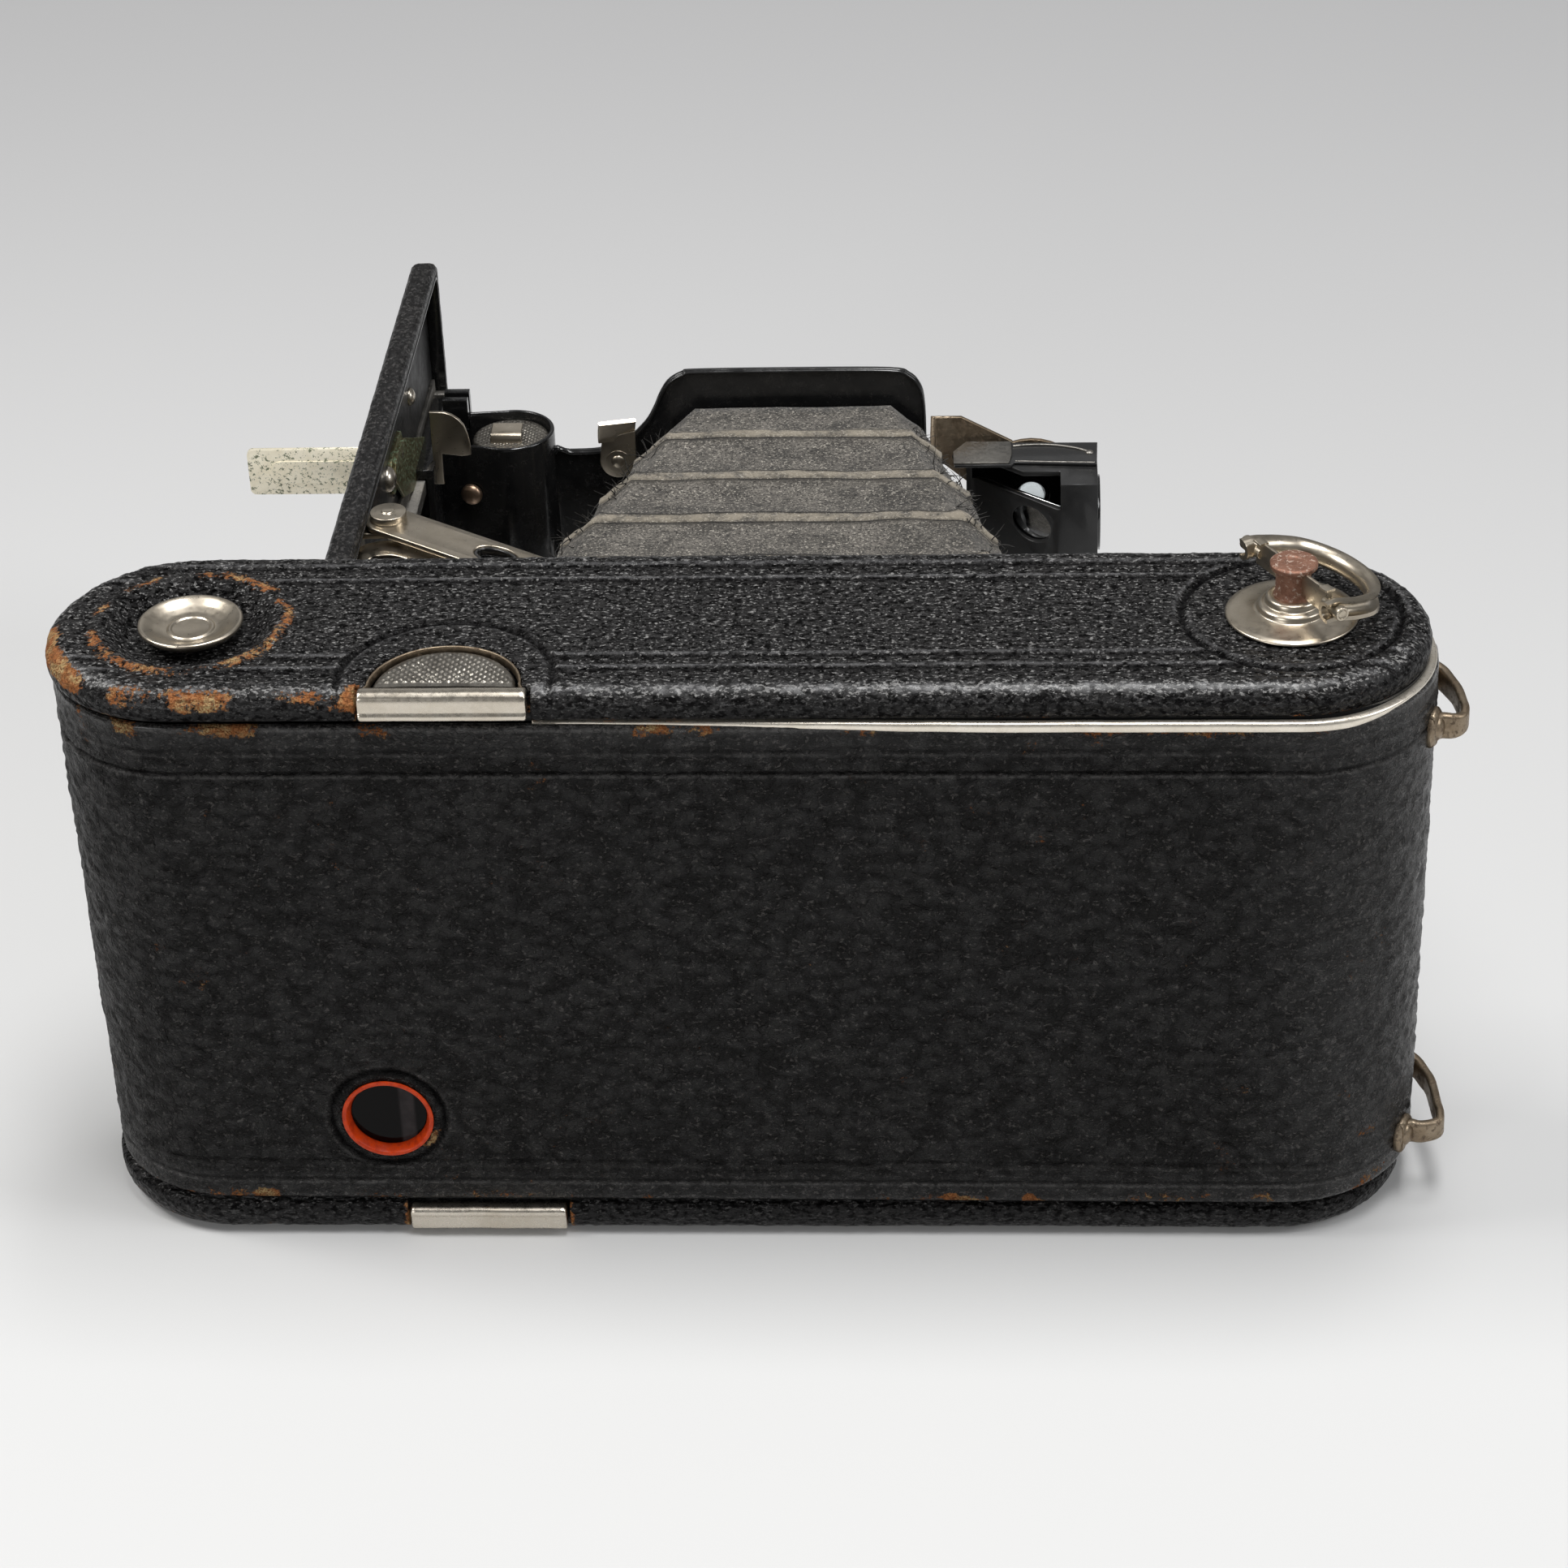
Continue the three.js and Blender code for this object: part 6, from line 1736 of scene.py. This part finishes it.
def grip(name, body, z, out):
    """round knurled pad with a bent tab"""
    r, rings, count = 8.15, 44, 150
    v = np.array([(HOUSING_X + q * math.cos(t), HOUSING_Y + q * math.sin(t), z + 4.1 * out)
                  for t in round_angles(count) for q in np.linspace(0, r, rings)])
    x, y = v[:, 0], v[:, 1]
    from_centre = np.hypot(x - HOUSING_X, y - HOUSING_Y)
    pitch = math.pi / 1.3
    knurl = np.abs(np.sin((x + y) * pitch)) * np.abs(np.sin((x - y) * pitch))
    v[:, 2] += out * (0.30 * knurl ** 0.7 * (1 - smooth(r - 0.9, r - 0.5, from_centre))
                      - 0.7 * smooth(r - 0.35, r, from_centre))
    last = rings - 1
    wall = [(k * rings + last, (k + 1) % count * rings + last) for k in range(count)]
    make(name, closed_slab(v, z, grid(count, rings, close_u=True), wall), KNURL, body, "steel",
         body, weld=0.002, sharp=60)
    tab = spline([(-58.0, y, z + 2.2 * out + h * out) for y, h in
                  ((146.9, -0.6), (146.9, 1.6), (147.2, 3.0), (148.0, 3.6), (151.6, 3.9))], 6)
    make(name + "_tab", sweep(tab, rounded_rect(-3.3, 3.3, -0.35, 0.35, 0.25, 3),
                              (0, 1, 0.4 * out)),
         NICKEL, body, "nickel", sharp=50)


def housing_rivet():
    """copper rivet set square to the housing's slanting -Y side"""
    slope = math.atan2(HOUSING_Y - 9.0 - 143.6, HOUSING_X - 1.6 - HOUSING_BACK_X)
    x, y, z = centre_mm("housing_rivet")
    make("housing_rivet_head", dome((x - 0.3, y + 0.1, z - 1.6),
                                    (math.sin(slope), -math.cos(slope), 0), 2.3, 1.5),
         COPPER, "lens_standard", "copper_rivet", "housing_rivet", weld=WELD, sharp=60)


def pointer_fan():
    outline = [(70.0, -72.3), (70.0, -70.4), (77.2, -70.3), (76.6, -66.2), (76.9, -64.2),
               (79.4, -64.3), (81.6, -64.6), (83.6, -65.2), (85.1, -66.2), (86.2, -67.6),
               (86.8, -69.2), (86.9, -72.3)]              # (z, x)
    plate("pointer_fan", outline, "y", 137.4, 138.3, NICKEL, "lens_standard", "nickel",
          "focus_pointer", bevel=0.2)


def clip():
    """bent sheet lever on a riveted washer"""
    x, z = -34.5, 69.8
    angles = [math.pi * (0.95 + i / 24) for i in range(25)]
    outline = [(z + 3.9 * math.sin(t), x + 3.9 * math.cos(t)) for t in angles]
    outline += [(77.0, -30.6), (75.2, -37.7)]
    plate("clip_tongue", outline, "y", 147.5, 148.5, NICKEL, "clip_lever", "nickel",
          "clip_lever", bevel=0.25)
    path = spline([(-34.6, 148.1, 74.6), (-34.6, 148.0, 75.8), (-34.5, 147.5, 77.2),
                   (-34.3, 146.9, 78.6), (-34.1, 146.2, 79.8)], 6)
    washer = fillet([(0, -0.2), (2.6, -0.2), (2.6, 0.3), (0, 0.32)], 0.1)
    parts = [sweep(path, rounded_rect(-4.0, 4.0, -0.45, 0.45, 0.3, 3), (-0.25, 1, 0.3)),
             dome((x, 147.6, z), (0, -1, 0), 1.5, 0.9),
             revolve((x, 147.6, z), (0, -1, 0), washer, 36)]
    make("clip_head", merge(parts), NICKEL, "clip_lever", "nickel", weld=WELD, sharp=50)


def finder_top():
    """hood sheet with two raised lines and a stud, and the steel seat beside them"""
    hood = [(36.6, 155.0), (48.6, 155.0), (49.4, 156.2), (66.9, 155.2), (67.2, 165.2),
            (38.6, 165.4), (36.0, 160)]
    plate("finder_hood", hood, "z", 63.55, 64.25, DARK_SHEET, "finder", "black_enamel", bevel=0.2)
    far_line = [(49.0, 163.4, 64.3), (53.0, 163.9, 64.35), (58.0, 163.6, 64.35),
                (62.5, 162.2, 64.35), (65.6, 160.4, 64.3)]
    near_line = [(49.6, 156.6, 64.25), (58, 156.1, 64.25), (66.4, 155.7, 64.25)]
    parts = [sweep(spline(far_line, 8), circle((0, 0), 0.32, 10), (0, 0, 1)),
             sweep(spline(near_line, 6), circle((0, 0), 0.22, 8), (0, 0, 1)),
             dome((65.4, 160.3, 64.2), (0, 0, 1), 0.9, 0.6, skirt=0.2, seg=20)]
    make("finder_hood_ridge", merge(parts), STEEL, "finder", "black_enamel", sharp=50)
    seat = [(36.4, 155.2), (48.2, 155.2), (48.8, 159), (48.6, 165.0), (39.0, 165.1),
            (36.2, 160.4)]
    plate("finder_seat", seat, "z", 64.25, 64.75, STEEL, "finder", "steel")


lens_panel()
focus_housing()
grip("grip_pad_upper", "grip_upper", 70.6, 1)
grip("grip_pad_lower", "grip_lower", 45.4, -1)
housing_rivet()
pointer_fan()
clip()
finder_top()

# ---------------------------------------------------------------- parts that keep their CAD shape
CAD_PARTS = {
    "body_frame": LEATHER_SIDE, "film_gate": ENAMEL_DULL, "pressure_plate": ENAMEL_DULL,
    "bed_hinge_upper": STEEL, "bed_hinge_lower": STEEL, "bed_track": STEEL,
    "body_track": STEEL, "brace_rivet_upper": NICKEL, "brace_rivet_lower": NICKEL,
    "leg_bracket": NICKEL, "stand_leg": NICKEL_PALE, "guide_roller_left": NICKEL,
    "guide_roller_right": NICKEL, "takeup_spool": WOOD, "supply_spool": WOOD,
    "carriage": ENAMEL, "shutter_case": ENAMEL, "shutter_cover": ENAMEL,
    "front_lens_cell": NICKEL, "front_lens": GLASS, "rear_lens_cell": NICKEL,
    "rear_lens": GLASS, "finder_bracket": NICKEL_BROWN, "aperture_lever": NICKEL,
    "speed_dial": NICKEL, "release_lever": NICKEL, "shutter_blade_left": STEEL,
    "shutter_blade_right": STEEL, "finder_body": DARK_SHEET, "finder_mirror": MIRROR,
    "finder_eye_lens": SHADE_PAINTED_GLASS, "finder_front_lens": GLASS,
}
UNBEVELLED = ("front_lens", "rear_lens", "finder_eye_lens", "finder_front_lens",
              "takeup_spool", "supply_spool")
for part, material in CAD_PARTS.items():
    ob = frame["nodes"][part]
    ob.data.materials.clear()
    ob.data.materials.append(material)
    ob.modifiers.new("weld", "WELD").merge_threshold = 2e-6
    if part not in UNBEVELLED:
        soft = ob.modifiers.new("soft_edges", "BEVEL")
        soft.width = 0.0006 if part == "body_frame" else 0.00018
        soft.segments = 2
        soft.limit_method = "ANGLE"
        soft.angle_limit = math.radians(40)
    shade_smooth(ob.data, 34)


# ---------------------------------------------------------------- stage, light, camera (metres)
def pale_floor():
    """grey with painted shade, darker with distance along Y, and a faint glow of its own"""
    g = Graph("floor_pale")
    y = g.node("SeparateXYZ", {0: g.coords}, 1)
    near = g.mix(g.noise(0.004, detail=3, rough=0.5), (0.63, 0.63, 0.63), (0.66, 0.66, 0.655))
    # painted shade: darker far away; the faint emission adds light
    g.set(Base_Color=g.mix(y.ramp(-200, 620), near, (0.47, 0.47, 0.475)), Roughness=0.8,
          Specular_IOR_Level=0.1, Emission_Color=(1.0, 1.0, 1.0), Emission_Strength=0.03)
    return g.material


def area_light(name, at, target, size, power, color=(1, 1, 1)):
    light = bpy.data.lights.new(name, "AREA")
    light.shape = "RECTANGLE"
    light.size, light.size_y = size
    light.energy = power
    light.color = color
    ob = bpy.data.objects.new(name, light)
    bpy.context.scene.collection.objects.link(ob)
    ob.location = at
    ob.rotation_euler = (Vector(target) - Vector(at)).to_track_quat("-Z", "Y").to_euler()


def add_camera(at, yaw, pitch, roll, lens):
    """yaw from +Y towards +X, pitch downwards and roll, in radians; lens in mm"""
    forward = Vector((math.sin(yaw) * math.cos(pitch), math.cos(yaw) * math.cos(pitch),
                      -math.sin(pitch)))
    level = Vector((math.cos(yaw), -math.sin(yaw), 0))
    down = forward.cross(level)
    right = math.cos(roll) * level + math.sin(roll) * down
    down = -math.sin(roll) * level + math.cos(roll) * down
    data = bpy.data.cameras.new("camera")
    data.lens = lens
    data.sensor_width = 36
    data.clip_start = 0.01
    ob = bpy.data.objects.new("camera", data)
    bpy.context.scene.collection.objects.link(ob)
    rows = [(right[i], -down[i], -forward[i], at[i]) for i in range(3)]
    ob.matrix_world = Matrix((*rows, (0, 0, 0, 1)))
    bpy.context.scene.camera = ob


floor_mesh = bpy.data.meshes.new("floor")
floor_mesh.from_pydata([(-6, -6, 0), (6, -6, 0), (6, 6, 0), (-6, 6, 0)], [], [(0, 1, 2, 3)])
floor_ob = bpy.data.objects.new("floor", floor_mesh)
bpy.context.scene.collection.objects.link(floor_ob)
floor_ob.location.z = -0.0003
floor_mesh.materials.append(pale_floor())
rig.stage(floor_ob)

world = bpy.data.worlds.new("soft")
bpy.context.scene.world = world
world.use_nodes = True
background = world.node_tree.nodes["Background"]
background.inputs["Color"].default_value = (0.80, 0.80, 0.80, 1)
background.inputs["Strength"].default_value = 0.185

area_light("key_left", at=(-0.80, 0.05, 1.15), target=(0, 0.03, 0.06), size=(0.50, 0.50),
           power=9.0, color=(1.0, 0.99, 0.97))
area_light("key_top", at=(0.15, -0.02, 1.30), target=(0, -0.02, 0.06), size=(0.80, 0.30),
           power=12.0)
area_light("right", at=(1.05, -0.20, 0.80), target=(0, 0.03, 0.06), size=(0.40, 0.60),
           power=4.5, color=(0.98, 0.99, 1.0))
area_light("front_left", at=(-0.80, -1.15, 0.50), target=(0, -0.02, 0.05), size=(0.40, 0.25),
           power=4.0)
area_light("far", at=(-0.15, 1.30, 0.85), target=(0, 0.0, 0.10), size=(0.90, 0.22), power=0.35)
add_camera(at=(0.047249, -0.588375, 0.454683), yaw=-0.0669, pitch=0.5635, roll=0.0398,
           lens=89.982447)
bpy.context.scene.view_settings.view_transform = "Standard"


def plain(box):
    return [list(map(float, corner)) for corner in box]


# the folder may be missing or closed to writing; the build goes on without the file
try:
    with open("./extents.json", "w") as fh:
        json.dump({"cad": plain(CAD_BOX), "visual": plain(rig.bounds())}, fh)
except OSError:
    pass
